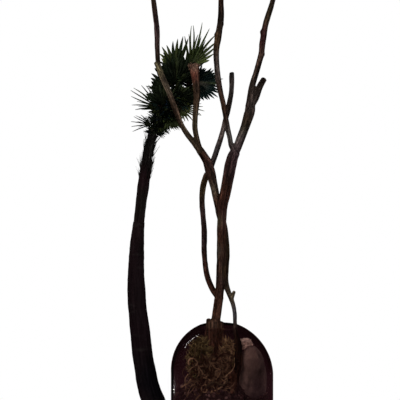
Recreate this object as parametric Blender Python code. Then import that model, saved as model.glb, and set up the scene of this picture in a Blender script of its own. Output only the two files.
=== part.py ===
"""Tabletop tree: a bare forked branch tree in a glass vessel, with a bowed fan palm behind it, on a round base.

Units are metres, +Z is up and the front is towards -Y. The origin is the centre of the base's underside.
Routes and outlines are given in millimetres, which `mm` turns into metres.
"""

import math

import bmesh
import bpy
from mathutils import Matrix, Vector

# ---------------------------------------------------------------- driving dimensions (metres)
GAP = 0.0003  # clearance between pieces that touch

PAD_RADIUS = 0.121
PAD_THICKNESS = 0.003
PLINTH_RADIUS = 0.125
PLINTH_TOP = 0.021
PLINTH_ROUND = 0.003
RECESS_DEPTH = 0.004

VESSEL_X = 0.016
VESSEL_Y = -0.006
VESSEL_RADIUS = 0.075
VESSEL_WALL = 0.004
VESSEL_FLOOR = 0.007
VESSEL_DOME_Z = 0.142
MOUTH_RADIUS = 0.0285
VESSEL_LEAN = 0.004  # how far the dome leans to the left at its top

PALM_X = -0.073
PALM_Y = 0.055
STUD_RADIUS = 0.004
STUD_TOP = 0.052
FOOT_RADIUS = 0.015
FOOT_TOP = 0.0353
COLLAR_RADIUS = 0.024
SCREW_CIRCLE = 0.0212
NUT_SIZE = 0.0075
PIN_RADIUS = 0.0016

BRANCH_SIDES = 10
BRANCH_STEP = 0.014
TRUNK_STEP = 0.022
VESSEL_SEGMENTS = 36
BASE_SEGMENTS = 48

# ---------------------------------------------------------------- routes: x, y, z and radius in millimetres
MAIN_STEM = [
    (4, -14, 118, 10.5), (4, -14, 150, 9.5), (5, -12.5, 185, 8.2), (6.4, -11, 216, 6.9), (10.8, -9, 248, 6.6),
    (14.6, -8, 285, 7.0), (15, -8, 330, 6.9), (15.2, -8, 358, 6.6), (16.7, -8, 383, 7.0), (20.4, -8, 405, 8.0),
    (25.8, -8, 433, 8.4), (31.4, -8, 458, 8.3), (35.5, -8, 467, 7.4),
]
RIGHT_BRANCH = [
    (34.5, -8, 465, 6.6), (39, -8, 475, 6.6), (47.5, -9, 497, 6.6), (52.5, -10, 512, 7.0), (56.6, -12, 527, 7.5),
    (57.6, -13, 543, 5.8), (59.6, -14, 561, 4.7), (65, -15, 580, 4.4), (73, -17, 609, 4.4), (74.8, -18, 625, 4.7),
    (79, -19.5, 650, 4.5), (87, -21.5, 677, 4.0), (94.4, -23, 704, 3.8), (98, -24, 728, 3.2), (104, -26, 753, 2.4),
]
RIGHT_STUB = [(55, -12, 527, 4.2), (64.8, -13, 544, 4.7), (70.5, -14.5, 560, 4.7), (77.7, -16, 572, 4.3)]
CENTRE_BRANCH = [
    (37, -8, 465, 4.4), (29.9, -9, 474.5, 4.2), (27.6, -10, 486, 4.0), (23.9, -11, 503, 4.0), (19, -12.5, 530, 3.8),
    (12.9, -14, 556, 3.9), (8.6, -14, 583, 4.1), (7.8, -14, 614, 4.5), (11.5, -15, 640, 4.8), (14.3, -16, 660, 4.4),
    (14.3, -16, 686, 4.1), (15.4, -17, 709, 3.8), (20.6, -18, 736, 3.2), (22.2, -19, 767, 2.3),
]
SECOND_STEM = [
    (27, -43, 118, 5.2), (32.8, -41, 139, 5.7), (38.5, -35, 163, 5.7), (38.8, -28, 182, 5.2), (36.0, -17, 199, 3.8),
    (35.0, -8, 213, 2.9), (34.6, -3, 230, 3.2), (32, 4, 243, 3.6), (26.8, 7.5, 256, 3.9), (22, 9.5, 272, 4.8),
    (21.4, 9.5, 300, 5.6), (22.2, 8.5, 322, 5.9), (18, 8, 356, 5.9), (11.8, 6.5, 380, 5.7),
]
LEFT_STEM = [
    (12.6, 6.6, 377, 5.5), (8.4, 5, 396, 5.5), (5.2, 1, 412, 5.7), (2.2, -1, 424, 6.2), (-1.3, -3, 437.5, 7.0),
    (-5.3, -4, 451, 6.5), (-11.2, -6, 461, 5.8), (-17.1, -8, 469.5, 5.8),
]
FAR_LEFT_BRANCH = [
    (-15, -7.3, 466.5, 5.2), (-25.8, -12, 479.7, 4.5), (-34, -16, 490, 3.9), (-42.5, -20, 504, 3.8),
    (-50, -24.5, 522, 3.8), (-61.7, -29, 552, 4.0), (-70.4, -30, 572, 4.1), (-76, -30, 590, 3.7),
    (-77.6, -30, 612, 3.7), (-78.2, -30, 642, 3.8), (-81, -30, 666, 3.8), (-84.4, -30, 690, 3.7),
    (-88.6, -30, 716, 3.4), (-89, -31, 746, 2.6),
]
FAR_LEFT_STUB = [(-72, -30, 578, 2.6), (-76.5, -30.5, 586, 2.8), (-79.6, -31, 593.5, 2.4)]
LEFT_BRANCH = [
    (-15.5, -7, 466, 4.8), (-19.4, -9, 480, 4.4), (-22.9, -12, 496, 4.1), (-23.4, -15, 512, 4.1),
    (-21.6, -18.5, 534, 4.4), (-21, -20.5, 553, 5.0), (-23, -22, 573, 5.6), (-24.6, -22, 585, 6.6),
    (-25.6, -22, 595, 8.4),
]
BACK_BRANCH = [
    (-2, 0, 440, 4.6), (5.9, 4.5, 461.7, 4.2), (11.2, 7, 477, 4.2), (17.9, 9, 499, 4.1), (22.8, 9, 518.5, 3.9),
    (27, 8, 539, 3.9), (29.9, 5, 557, 3.9), (30.6, 3, 574, 3.9), (30.8, 2, 584, 3.7),
]
SIDE_STICK = [
    (13, -8, 249, 4.0), (3.6, -3, 261, 4.3), (-3, 2, 275, 4.3), (-7.4, 5.5, 291, 4.3), (-9.8, 8, 320, 4.2),
    (-10.4, 8.5, 350, 4.2), (-13.2, 9, 391, 4.2), (-11.9, 9, 414, 4.3), (-7.6, 9, 430, 4.6), (-5.4, 9, 435, 4.6),
]
LOW_STUB = [(30, 6, 247, 2.6), (32, 5.5, 253, 2.8), (34.6, 5, 260, 2.4)]
ROOT_STUMP = [(-5, -2, 130, 10), (-5, -2, 160, 8), (-4.2, -2, 190, 6.2), (-3, -2, 208, 4.9), (-2.6, -2, 219, 4.4)]
ROOT_TWIGS = [
    [(-14, -46, 140, 2.0), (-15, -45, 160, 1.9), (-13.6, -40, 182, 1.5)],
    [(-8, -58, 134, 2.0), (3, -60, 141, 2.2), (14, -60, 137, 2.0), (22, -56, 142, 1.6)],
    [(-22, -44, 139, 1.8), (-17, -50, 151, 1.9), (-6, -52, 160, 1.8), (4, -49, 157, 1.5)],
]

TRUNK_LOWER = [
    (-72.6, 55, 32, 17.9), (-75.8, 55, 50, 17.9), (-82.5, 55, 67, 17.8), (-90.4, 55, 88, 17.3), (-98.6, 55, 116, 16.2),
    (-104.8, 55, 151, 15.9), (-109.5, 55, 193, 15.1), (-113.7, 55, 232, 14.1), (-115.5, 55, 271, 13.3),
    (-114.9, 55, 302, 12.0), (-113.4, 55, 333, 10.2), (-110.9, 55, 361, 8.8),
]
TRUNK_UPPER = [
    (-111.1, 55, 359, 8.4), (-107.2, 55, 395, 8.5), (-103.1, 55, 426, 8.5), (-99.4, 55, 449, 7.6),
    (-95.5, 55, 475.6, 6.4), (-92.4, 55, 488, 6.0),
]
CROWN_STEM = [
    (-93, 55, 486, 5.6), (-85.4, 55, 507, 5.6), (-76.1, 55, 525, 5.4), (-64.5, 55, 545.5, 5.2), (-50.5, 55, 569, 4.6),
    (-37.5, 55, 593, 3.6),
]
WRAP_LOWER = [(-102.8, 55, 428, 9.4), (-99.4, 55, 449, 10.4), (-97.6, 55, 461, 9.2)]
WRAP_UPPER = [(-97.2, 55, 463, 9.0), (-95.5, 55, 475.6, 9.3), (-91.6, 55, 491, 8.2), (-88.6, 55, 499, 7.2)]

# leaf: place along the crown stem (0 foot, 1 tip), direction of its stalk, the way its upper face looks, stalk length
# and blade radius in millimetres, number of fingers and half the fan's angle in degrees
LEAVES = [
    ("leaf_top_right", 1.00, (0.58, -0.10, 0.81), (0.1, -1.0, 0.1), 14, 60, 10, 46),
    ("leaf_top_left", 0.86, (-0.24, 0.06, 0.97), (-0.1, -1.0, 0.0), 15, 58, 8, 34),
    ("leaf_right", 0.90, (0.94, -0.28, -0.18), (0.1, -0.9, 0.4), 20, 37, 12, 68),
    ("leaf_front", 0.74, (0.10, -0.62, 0.78), (0.1, -0.8, -0.5), 9, 46, 10, 56),
    ("leaf_upper_left", 0.66, (-0.64, -0.14, 0.76), (-0.1, -1.0, 0.2), 7, 36, 9, 46),
    ("leaf_front_right", 0.64, (0.66, -0.74, 0.02), (0.3, -0.8, -0.4), 9, 33, 9, 52),
    ("leaf_low_right", 0.54, (0.86, -0.36, -0.36), (0.2, -0.9, 0.5), 9, 38, 10, 52),
    ("leaf_front_low", 0.46, (-0.12, -0.80, 0.60), (0.1, -0.6, -0.7), 7, 35, 9, 54),
    ("leaf_left", 0.42, (-0.82, -0.24, 0.50), (-0.2, -0.9, 0.3), 5, 35, 9, 48),
    ("leaf_low_front", 0.35, (0.70, -0.62, -0.40), (0.3, -0.7, 0.6), 8, 28, 8, 48),
    ("leaf_low_left", 0.20, (-0.74, -0.50, 0.30), (-0.2, -0.9, 0.3), 4, 25, 8, 44),
    ("leaf_foot", 0.22, (0.40, -0.86, -0.32), (0.4, -0.7, 0.5), 5, 24, 7, 44),
    ("leaf_back_top", 0.92, (0.25, 0.65, 0.75), (0.1, 0.7, -0.6), 14, 44, 9, 50),
    ("leaf_back_right", 0.70, (0.75, 0.65, 0.10), (0.3, 0.6, 0.8), 14, 42, 9, 50),
    ("leaf_back_left", 0.60, (-0.60, 0.75, 0.45), (-0.2, 0.6, 0.8), 12, 40, 9, 50),
    ("leaf_back_low", 0.38, (0.30, 0.90, -0.25), (0.2, 0.4, 0.9), 10, 36, 9, 50),
]
STALK_WIDTH = 0.0024
BLADE_THICKNESS = 0.0010
STALK_CLEARANCE = 0.0008
BLADE_DROOP = 0.10
FINGER_ROOT = 0.52
PLEAT = 0.0024


def mm(*values):
    return Vector([value * 0.001 for value in values])


# ---------------------------------------------------------------- materials and objects
def material(name, colour, roughness, metallic=0.0):
    made = bpy.data.materials.get(name)
    if made is None:
        made = bpy.data.materials.new(name)
        made.use_nodes = True
        shader = made.node_tree.nodes["Principled BSDF"]
        shader.inputs["Base Color"].default_value = (*colour, 1.0)
        shader.inputs["Roughness"].default_value = roughness
        shader.inputs["Metallic"].default_value = metallic
    return made


def bark():
    return material("bark", (0.065, 0.032, 0.020), 0.7)


def pale_bark():
    return material("pale_bark", (0.13, 0.10, 0.07), 0.75)


def palm_bark():
    return material("palm_bark", (0.020, 0.015, 0.014), 0.8)


def fibre():
    return material("fibre", (0.045, 0.040, 0.034), 0.9)


def leaf_green():
    return material("leaf_green", (0.020, 0.045, 0.022), 0.5)


def dark_glass():
    return material("dark_glass", (0.06, 0.02, 0.04), 0.06)


def soil():
    return material("soil", (0.018, 0.012, 0.012), 0.95)


def moss():
    return material("moss", (0.080, 0.062, 0.022), 0.95)


def stone():
    return material("stone", (0.16, 0.12, 0.13), 0.6)


def coarse_stone():
    return material("coarse_stone", (0.38, 0.28, 0.24), 0.8)


def plinth_paint():
    return material("plinth_paint", (0.020, 0.017, 0.016), 0.45)


def felt():
    return material("felt", (0.030, 0.030, 0.032), 1.0)


def steel():
    return material("steel", (0.55, 0.55, 0.55), 0.3, 1.0)


def dark_collar():
    return material("dark_collar", (0.030, 0.028, 0.028), 0.5)


def new_object(name, shape, look, smooth=True):
    """Turn a bmesh into a named object, its faces pointing out and its round sides smooth."""
    bmesh.ops.recalc_face_normals(shape, faces=shape.faces)
    mesh = bpy.data.meshes.new(name)
    shape.to_mesh(mesh)
    shape.free()
    if smooth:
        mesh.shade_smooth()
        mesh.set_sharp_from_angle(angle=math.radians(40))
    made = bpy.data.objects.new(name, mesh)
    bpy.context.scene.collection.objects.link(made)
    if look is not None:
        mesh.materials.append(look)
    return made


def as_cutter(made):
    made.hide_render = True
    made.display_type = "WIRE"
    return made


def boolean(target, tool, operation="DIFFERENCE"):
    modifier = target.modifiers.new(tool.name, "BOOLEAN")
    modifier.operation = operation
    modifier.object = tool
    modifier.solver = "EXACT"


# ---------------------------------------------------------------- shapes
def skin_rings(shape, rings):
    """Join equal rings of vertices with quads and close both ends."""
    count = len(rings[0])
    for near, far in zip(rings, rings[1:]):
        for index in range(count):
            following = (index + 1) % count
            shape.faces.new((near[index], near[following], far[following], far[index]))
    shape.faces.new(tuple(reversed(rings[0])))
    shape.faces.new(tuple(rings[-1]))


def smooth_route(route, step):
    """Centres and radii along a smooth curve through the route's points, about one per step."""
    knots = [mm(*point) for point in route]
    first = knots[0] * 2 - knots[1]
    last = knots[-1] * 2 - knots[-2]
    padded = [first, *knots, last]
    samples = []
    for before, start, end, after in zip(padded, padded[1:], padded[2:], padded[3:]):
        length = (end - start).length
        count = max(1, round(length / step))
        start_slope = (end - before) * length / ((start - before).length + length)
        end_slope = (after - start) * length / ((after - end).length + length)
        for index in range(count):
            t = index / count
            samples.append(
                start * (2 * t**3 - 3 * t**2 + 1)
                + start_slope * (t**3 - 2 * t**2 + t)
                + end * (3 * t**2 - 2 * t**3)
                + end_slope * (t**3 - t**2)
            )
    samples.append(knots[-1])
    return [(sample.xyz, sample.w) for sample in samples]


def tube(name, route, look, grow=0.0, sides=BRANCH_SIDES, step=BRANCH_STEP):
    """A round stick along a route; grow makes it fatter and longer at both ends."""
    samples = smooth_route(route, step)
    centres = [centre.copy() for centre, radius in samples]
    centres[0] += (centres[0] - centres[1]).normalized() * grow
    centres[-1] += (centres[-1] - centres[-2]).normalized() * grow
    shape = bmesh.new()
    rings = []
    tangent = (centres[1] - centres[0]).normalized()
    across = tangent.orthogonal().normalized()
    for index, centre in enumerate(centres):
        ahead = centres[min(index + 1, len(centres) - 1)]
        behind = centres[max(index - 1, 0)]
        turned = (ahead - behind).normalized()
        across = tangent.rotation_difference(turned) @ across
        tangent = turned
        beside = tangent.cross(across)
        radius = samples[index][1] + grow
        ring = []
        for side in range(sides):
            angle = 2 * math.pi * side / sides
            spoke = across * math.cos(angle) + beside * math.sin(angle)
            ring.append(shape.verts.new(centre + spoke * radius))
        rings.append(ring)
    skin_rings(shape, rings)
    return new_object(name, shape, look)


def branch(name, route, look, *parents):
    """A stick cut back where it meets each parent route, so that it sits on the parent's surface."""
    made = tube(name, route, look)
    for number, parent in enumerate(parents):
        boolean(made, as_cutter(tube(f"cut_{name}_{number}", parent, None, grow=GAP)))
    return made


def turned(name, outline, look, x=0.0, y=0.0, segments=24):
    """Turn an outline of (radius, height) about a vertical axis; it is closed, or starts and ends on the axis."""
    shape = bmesh.new()
    rings = []
    for radius, height in outline:
        if radius == 0:
            rings.append([shape.verts.new((x, y, height))])
            continue
        ring = []
        for side in range(segments):
            angle = 2 * math.pi * side / segments
            ring.append(shape.verts.new((x + radius * math.cos(angle), y + radius * math.sin(angle), height)))
        rings.append(ring)
    if outline[0][0] != 0:
        rings.append(rings[0])
    for near, far in zip(rings, rings[1:]):
        for index in range(segments):
            following = (index + 1) % segments
            if len(near) == 1:
                shape.faces.new((near[0], far[following], far[index]))
            elif len(far) == 1:
                shape.faces.new((near[index], near[following], far[0]))
            else:
                shape.faces.new((near[index], near[following], far[following], far[index]))
    return new_object(name, shape, look)


def arc(centre_radius, centre_height, radius, start, end, count):
    """Points of (radius, height) along an arc, its angles in degrees from level."""
    points = []
    for index in range(count + 1):
        angle = math.radians(start + (end - start) * index / count)
        points.append((centre_radius + radius * math.cos(angle), centre_height + radius * math.sin(angle)))
    return points


def cylinder(name, radius, bottom, top, look, x=0.0, y=0.0, segments=24):
    return turned(name, [(0, bottom), (radius, bottom), (radius, top), (0, top)], look, x, y, segments)


def lump(name, centre, size, look, roughness, grow=0.0, detail=3):
    """A rounded lump of the given half sizes with a gently uneven surface; grow makes it larger all over."""
    shape = bmesh.new()
    bmesh.ops.create_icosphere(shape, subdivisions=detail, radius=1.0)
    for vertex in shape.verts:
        x, y, z = vertex.co
        swell = 1 + roughness * (math.sin(7 * x + 3 * z) * math.cos(6 * y + 1) + 0.5 * math.sin(11 * z + 5 * y))
        scaled = Vector((x * size[0], y * size[1], z * size[2])) * (0.001 * swell)
        vertex.co = mm(*centre) + scaled * (1 + grow / scaled.length)
    return new_object(name, shape, look)


def bolt(name, x, y, shank_radius, head_radius, bottom, seat, top, look):
    """A screw with a round domed head, its shank down to the bottom."""
    outline = [
        (0, bottom), (shank_radius, bottom), (shank_radius, seat), (head_radius, seat),
        (head_radius, (seat + top) / 2), (head_radius * 0.6, top), (0, top),
    ]
    return turned(name, outline, look, x, y, 10)


# ---------------------------------------------------------------- base
def make_base():
    cylinder("base_pad", PAD_RADIUS, 0, PAD_THICKNESS, felt(), segments=BASE_SEGMENTS)
    low = PAD_THICKNESS + GAP
    edge = PLINTH_RADIUS - PLINTH_ROUND
    outline = [
        (0, low), (edge, low),
        *arc(edge, low + PLINTH_ROUND, PLINTH_ROUND, -60, 0, 1),
        *arc(edge, PLINTH_TOP - PLINTH_ROUND, PLINTH_ROUND, 0, 90, 3),
        (0, PLINTH_TOP),
    ]
    plinth = turned("base_plinth", outline, plinth_paint(), segments=BASE_SEGMENTS)
    recess_floor = PLINTH_TOP - RECESS_DEPTH
    recess = cylinder("cut_recess", VESSEL_RADIUS + 0.001, recess_floor, PLINTH_TOP + 0.01, None,
                      VESSEL_X, VESSEL_Y, BASE_SEGMENTS)
    boolean(plinth, as_cutter(recess))
    bore = cylinder("cut_stud_bore", STUD_RADIUS + GAP, -0.01, PLINTH_TOP + 0.01, None, PALM_X, PALM_Y)
    boolean(plinth, as_cutter(bore))
    nut_pocket = cylinder("cut_nut_pocket", 0.011, -0.01, 0.0125, None, PALM_X, PALM_Y)
    boolean(plinth, as_cutter(nut_pocket))
    for number, (x, y) in enumerate(screw_places()):
        hole = cylinder(f"cut_screw_hole_{number}", 0.0013 + GAP, 0.011, PLINTH_TOP + 0.01, None, x, y, 12)
        boolean(plinth, as_cutter(hole))


def screw_places():
    for number in range(3):
        angle = math.radians(90 + 120 * number)
        yield PALM_X + SCREW_CIRCLE * math.cos(angle), PALM_Y + SCREW_CIRCLE * math.sin(angle)


def make_palm_fixing():
    cylinder("palm_stud", STUD_RADIUS, 0.0036, STUD_TOP, steel(), PALM_X, PALM_Y)
    washer = [(STUD_RADIUS + GAP, 0.0110), (0.0095, 0.0110), (0.0095, 0.0122), (STUD_RADIUS + GAP, 0.0122)]
    turned("palm_washer", washer, steel(), PALM_X, PALM_Y)
    nut = cylinder("palm_nut", NUT_SIZE, 0.0042, 0.0107, steel(), PALM_X, PALM_Y, segments=6)
    thread = cylinder("cut_nut_thread", STUD_RADIUS + GAP, 0, 0.02, None, PALM_X, PALM_Y)
    boolean(nut, as_cutter(thread))
    foot_low = PLINTH_TOP + GAP
    foot = [
        (STUD_RADIUS + 2 * GAP, foot_low), (FOOT_RADIUS, foot_low), (FOOT_RADIUS, FOOT_TOP),
        (STUD_RADIUS + 2 * GAP, FOOT_TOP),
    ]
    turned("palm_foot", foot, dark_collar(), PALM_X, PALM_Y)
    flange = foot_low + 0.003
    inner = FOOT_RADIUS + 2 * GAP
    collar_outline = [
        (inner, foot_low), (COLLAR_RADIUS, foot_low), (COLLAR_RADIUS, flange),
        (inner + 0.003, flange), (inner + 0.003, 0.031), (inner, 0.031),
    ]
    collar = turned("palm_collar", collar_outline, dark_collar(), PALM_X, PALM_Y)
    for number, (x, y) in enumerate(screw_places()):
        hole = cylinder(f"cut_collar_hole_{number}", 0.0013 + GAP, 0.015, 0.04, None, x, y, 12)
        boolean(collar, as_cutter(hole))
        bolt(f"collar_screw_{number + 1}", x, y, 0.0013, 0.0023, 0.0118, flange + GAP, flange + 0.0018, steel())


# ---------------------------------------------------------------- vessel and what is in it
def vessel_outline():
    inner = VESSEL_RADIUS - VESSEL_WALL
    floor = PLINTH_TOP - RECESS_DEPTH + GAP
    rim_angle = math.degrees(math.acos(MOUTH_RADIUS / (VESSEL_RADIUS - VESSEL_WALL / 2)))
    rim_height = VESSEL_DOME_Z + (VESSEL_RADIUS - VESSEL_WALL / 2) * math.sin(math.radians(rim_angle))
    return [
        (0, floor), (VESSEL_RADIUS - 0.008, floor),
        *arc(VESSEL_RADIUS - 0.008, floor + 0.008, 0.008, -60, 0, 2),
        *arc(0, VESSEL_DOME_Z, VESSEL_RADIUS, 0, rim_angle, 8),
        (MOUTH_RADIUS + 0.001, rim_height + 0.0022), (MOUTH_RADIUS - 0.0008, rim_height + 0.0012),
        *reversed(arc(0, VESSEL_DOME_Z, inner, 0, rim_angle, 8)),
        *reversed(arc(inner - 0.008, floor + VESSEL_FLOOR + 0.008, 0.008, -60, 0, 2)),
        (inner - 0.008, floor + VESSEL_FLOOR),
        (0, floor + VESSEL_FLOOR),
    ]


def soil_outline(grow=0.0):
    low = PLINTH_TOP - RECESS_DEPTH + VESSEL_FLOOR + 2 * GAP
    side = VESSEL_RADIUS - VESSEL_WALL - 0.0006
    return [
        (0, low), (side - 0.008, low),
        *arc(side - 0.008, low + 0.008, 0.008, -60, 0, 1),
        (side, 0.104 + grow), (0.064 + grow, 0.118 + grow), (0.050 + grow, 0.128 + grow),
        (0.035 + grow, 0.137 + grow), (0.020 + grow, 0.144 + grow), (0, 0.147 + grow),
    ]


SMOOTH_STONE = ((58, -24, 140), (19, 16, 45))
COARSE_STONE = ((49, -17, 186), (11, 11, 8.5))
MOSS_LUMPS = [
    ("moss_left", (-17, -25, 163), (14, 14, 29)),
    ("moss_centre", (24, -21, 158), (8, 10, 31)),
    ("moss_back", (18, 26, 146), (38, 22, 24)),
]


def make_vessel():
    glass = turned("glass_vessel", vessel_outline(), dark_glass(), VESSEL_X, VESSEL_Y, VESSEL_SEGMENTS)
    for vertex in glass.data.vertices:
        above = max(0.0, vertex.co.z - VESSEL_DOME_Z)
        vertex.co.x -= VESSEL_LEAN * above / VESSEL_RADIUS
    earth = turned("soil_fill", soil_outline(), soil(), VESSEL_X, VESSEL_Y, VESSEL_SEGMENTS)
    inside = [MAIN_STEM, SECOND_STEM, ROOT_STUMP]
    for number, route in enumerate(inside):
        boolean(earth, as_cutter(tube(f"cut_soil_{number}", route, None, grow=GAP)))
    centre, size = SMOOTH_STONE
    lump("stone_smooth", centre, size, stone(), 0.015)
    boolean(earth, as_cutter(lump("cut_stone_pocket", centre, size, None, 0.015, grow=GAP)))
    top_centre, top_size = COARSE_STONE
    coarse = lump("stone_coarse", top_centre, top_size, coarse_stone(), 0.05)
    boolean(coarse, as_cutter(lump("cut_stone_seat", centre, size, None, 0.015, grow=GAP)))
    boolean(coarse, as_cutter(tube("cut_stone_stem", SECOND_STEM, None, grow=GAP)))
    for name, centre, size in MOSS_LUMPS:
        clump = lump(name, centre, size, moss(), 0.06)
        bed = turned(f"cut_bed_{name}", soil_outline(GAP), None, VESSEL_X, VESSEL_Y, VESSEL_SEGMENTS)
        boolean(clump, as_cutter(bed))
        for number, route in enumerate(inside):
            boolean(clump, as_cutter(tube(f"cut_{name}_{number}", route, None, grow=GAP)))


# ---------------------------------------------------------------- branch tree
def make_branch_tree():
    main = branch("main_stem", MAIN_STEM, bark())
    right = branch("right_branch", RIGHT_BRANCH, bark(), MAIN_STEM)
    branch("right_stub", RIGHT_STUB, bark(), RIGHT_BRANCH)
    branch("centre_branch", CENTRE_BRANCH, bark(), MAIN_STEM, RIGHT_BRANCH)
    second = branch("second_stem", SECOND_STEM, bark())
    left = branch("left_stem", LEFT_STEM, bark(), SECOND_STEM)
    far_left = branch("far_left_branch", FAR_LEFT_BRANCH, bark(), LEFT_STEM)
    branch("far_left_stub", FAR_LEFT_STUB, pale_bark(), FAR_LEFT_BRANCH)
    branch("left_branch", LEFT_BRANCH, bark(), LEFT_STEM, FAR_LEFT_BRANCH)
    branch("back_branch", BACK_BRANCH, bark(), LEFT_STEM)
    branch("side_stick", SIDE_STICK, bark(), MAIN_STEM)
    branch("low_stub", LOW_STUB, bark(), SECOND_STEM)
    branch("root_stump", ROOT_STUMP, bark(), MAIN_STEM)
    for number, route in enumerate(ROOT_TWIGS):
        tube(f"root_twig_{number + 1}", route, pale_bark(), sides=8, step=0.006)
    pin("pin_right_branch", RIGHT_BRANCH, main, right)
    pin("pin_second_stem", LEFT_STEM, second, left)
    pin("pin_far_left_branch", FAR_LEFT_BRANCH, left, far_left)


def pin(name, route, *holders):
    """A wire pin laid along the first stretch of a route, and its bores in the pieces it holds together."""
    start = mm(*route[0][:3])
    along = (mm(*route[1][:3]) - start).normalized()
    make_pin(name, start - along * 0.003, start + along * 0.012, holders)


def make_pin(name, low, high, holders):
    radius = PIN_RADIUS * 1000
    points = [(*(low * 1000), radius), (*(high * 1000), radius)]
    tube(name, points, steel(), sides=12)
    for number, holder in enumerate(holders):
        boolean(holder, as_cutter(tube(f"cut_{name}_{number}", points, None, grow=GAP, sides=12)))


# ---------------------------------------------------------------- palm
def make_palm():
    lower = tube("palm_trunk_lower", TRUNK_LOWER, palm_bark(), sides=16, step=TRUNK_STEP)
    below = cylinder("cut_trunk_end", 0.03, 0, FOOT_TOP + GAP, None, PALM_X, PALM_Y)
    boolean(lower, as_cutter(below))
    upper = branch("palm_trunk_upper", TRUNK_UPPER, palm_bark(), TRUNK_LOWER)
    bore = cylinder("cut_trunk_bore", STUD_RADIUS + 2 * GAP, 0.03, STUD_TOP + 0.001, None, PALM_X, PALM_Y)
    boolean(lower, as_cutter(bore))
    joint = mm(*TRUNK_LOWER[-1][:3])
    along = (mm(*TRUNK_LOWER[-1][:3]) - mm(*TRUNK_LOWER[-2][:3])).normalized()
    make_pin("trunk_dowel", joint - along * 0.014, joint + along * 0.014, (lower, upper))
    branch("crown_stem", CROWN_STEM, palm_bark(), TRUNK_UPPER)
    branch("fibre_wrap_lower", WRAP_LOWER, fibre(), TRUNK_UPPER)
    branch("fibre_wrap_upper", WRAP_UPPER, fibre(), TRUNK_UPPER, WRAP_LOWER, CROWN_STEM)


def crown_point(fraction):
    """The place and direction on the crown stem at a fraction of its length."""
    samples = smooth_route(CROWN_STEM, 0.002)
    index = round(fraction * (len(samples) - 1))
    here, radius = samples[index]
    before = samples[max(index - 1, 0)][0]
    after = samples[min(index + 1, len(samples) - 1)][0]
    return here, (after - before).normalized(), radius


def leaf_frame(fraction, direction, facing):
    """The matrix of a leaf's foot: x along its stalk, z out of its blade's upper face."""
    centre, up, radius = crown_point(fraction)
    along = Vector(direction).normalized()
    outward = (along - up * along.dot(up)).normalized()
    foot = centre + (outward * (radius + GAP) if fraction < 1 else up * GAP)
    across = Vector(facing).cross(along).normalized()
    upper = along.cross(across)
    turn = Matrix((along, across, upper)).transposed()
    return Matrix.Translation(foot) @ turn.to_4x4()


def blade_mesh(hub, radius, fingers, half_angle):
    """A thin fan from the hub: pointed fingers, each with a ridge, the whole blade drooping to its tips."""
    pitch = 2 * math.radians(half_angle) / fingers

    def place(angle, distance, lift=0.0):
        droop = BLADE_DROOP * distance**2 / radius
        return Vector((hub + math.cos(angle) * distance, math.sin(angle) * distance, lift - droop))

    valleys = [
        place(pitch * (number - fingers / 2), radius * FINGER_ROOT, -PLEAT / 2) for number in range(fingers + 1)
    ]
    tips = []
    ridges = []
    for number in range(fingers):
        angle = pitch * (number + 0.5 - fingers / 2)
        from_middle = abs(number + 0.5 - fingers / 2) / (fingers / 2)
        tips.append(place(angle, radius * (1 - 0.16 * from_middle)))
        ridges.append(place(angle, radius * FINGER_ROOT * 1.1, PLEAT / 2))

    shape = bmesh.new()
    outlines = []
    for lift in (BLADE_THICKNESS / 2, -BLADE_THICKNESS / 2):

        def corner(point):
            return shape.verts.new(point + Vector((0, 0, lift)))

        foot_low = corner(Vector((STALK_CLEARANCE, -STALK_WIDTH / 2, 0)))
        foot_high = corner(Vector((STALK_CLEARANCE, STALK_WIDTH / 2, 0)))
        hub_low = corner(Vector((hub, -STALK_WIDTH / 2, 0)))
        hub_high = corner(Vector((hub, STALK_WIDTH / 2, 0)))
        centre = corner(place(0, STALK_WIDTH / 2))
        roots = [corner(point) for point in valleys]
        shape.faces.new((foot_low, hub_low, hub_high, foot_high))
        shape.faces.new((hub_low, centre, hub_high))
        shape.faces.new((hub_low, roots[0], centre))
        shape.faces.new((centre, roots[-1], hub_high))
        outline = [foot_high, foot_low, hub_low]
        for number in range(fingers):
            tip = corner(tips[number])
            ridge = corner(ridges[number])
            ends = [centre, roots[number], tip, roots[number + 1], centre]
            for pair in zip(ends, ends[1:]):
                shape.faces.new((*pair, ridge))
            outline += [roots[number], tip]
        outlines.append([*outline, roots[-1], hub_high])
    top, bottom = outlines
    for index in range(len(top)):
        following = (index + 1) % len(top)
        shape.faces.new((top[index], top[following], bottom[following], bottom[index]))
    return shape


def make_leaf(name, fraction, direction, facing, stalk, radius, fingers, half_angle):
    """A fan leaf: a flat stalk and a blade cut into fingers, its origin at the stalk's foot."""
    blade = blade_mesh(stalk * 0.001, radius * 0.001, fingers, half_angle)
    leaf = new_object(name, blade, leaf_green(), smooth=False)
    leaf.matrix_world = leaf_frame(fraction, direction, facing)


def main():
    for old in list(bpy.data.objects):
        bpy.data.objects.remove(old, do_unlink=True)
    make_base()
    make_palm_fixing()
    make_vessel()
    make_branch_tree()
    make_palm()
    for leaf in LEAVES:
        make_leaf(*leaf)


main()
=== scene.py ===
"""Looks of the tabletop tree: bark, leaves, glass and what lies in it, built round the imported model.

Everything is in metres in the frame of the CAD. Routes and lumps are in millimetres, as in the part's source.
"""

import math
import random
from itertools import combinations

import bpy
import numpy as np
from mathutils import Matrix, Vector, noise
from mathutils.kdtree import KDTree


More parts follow.
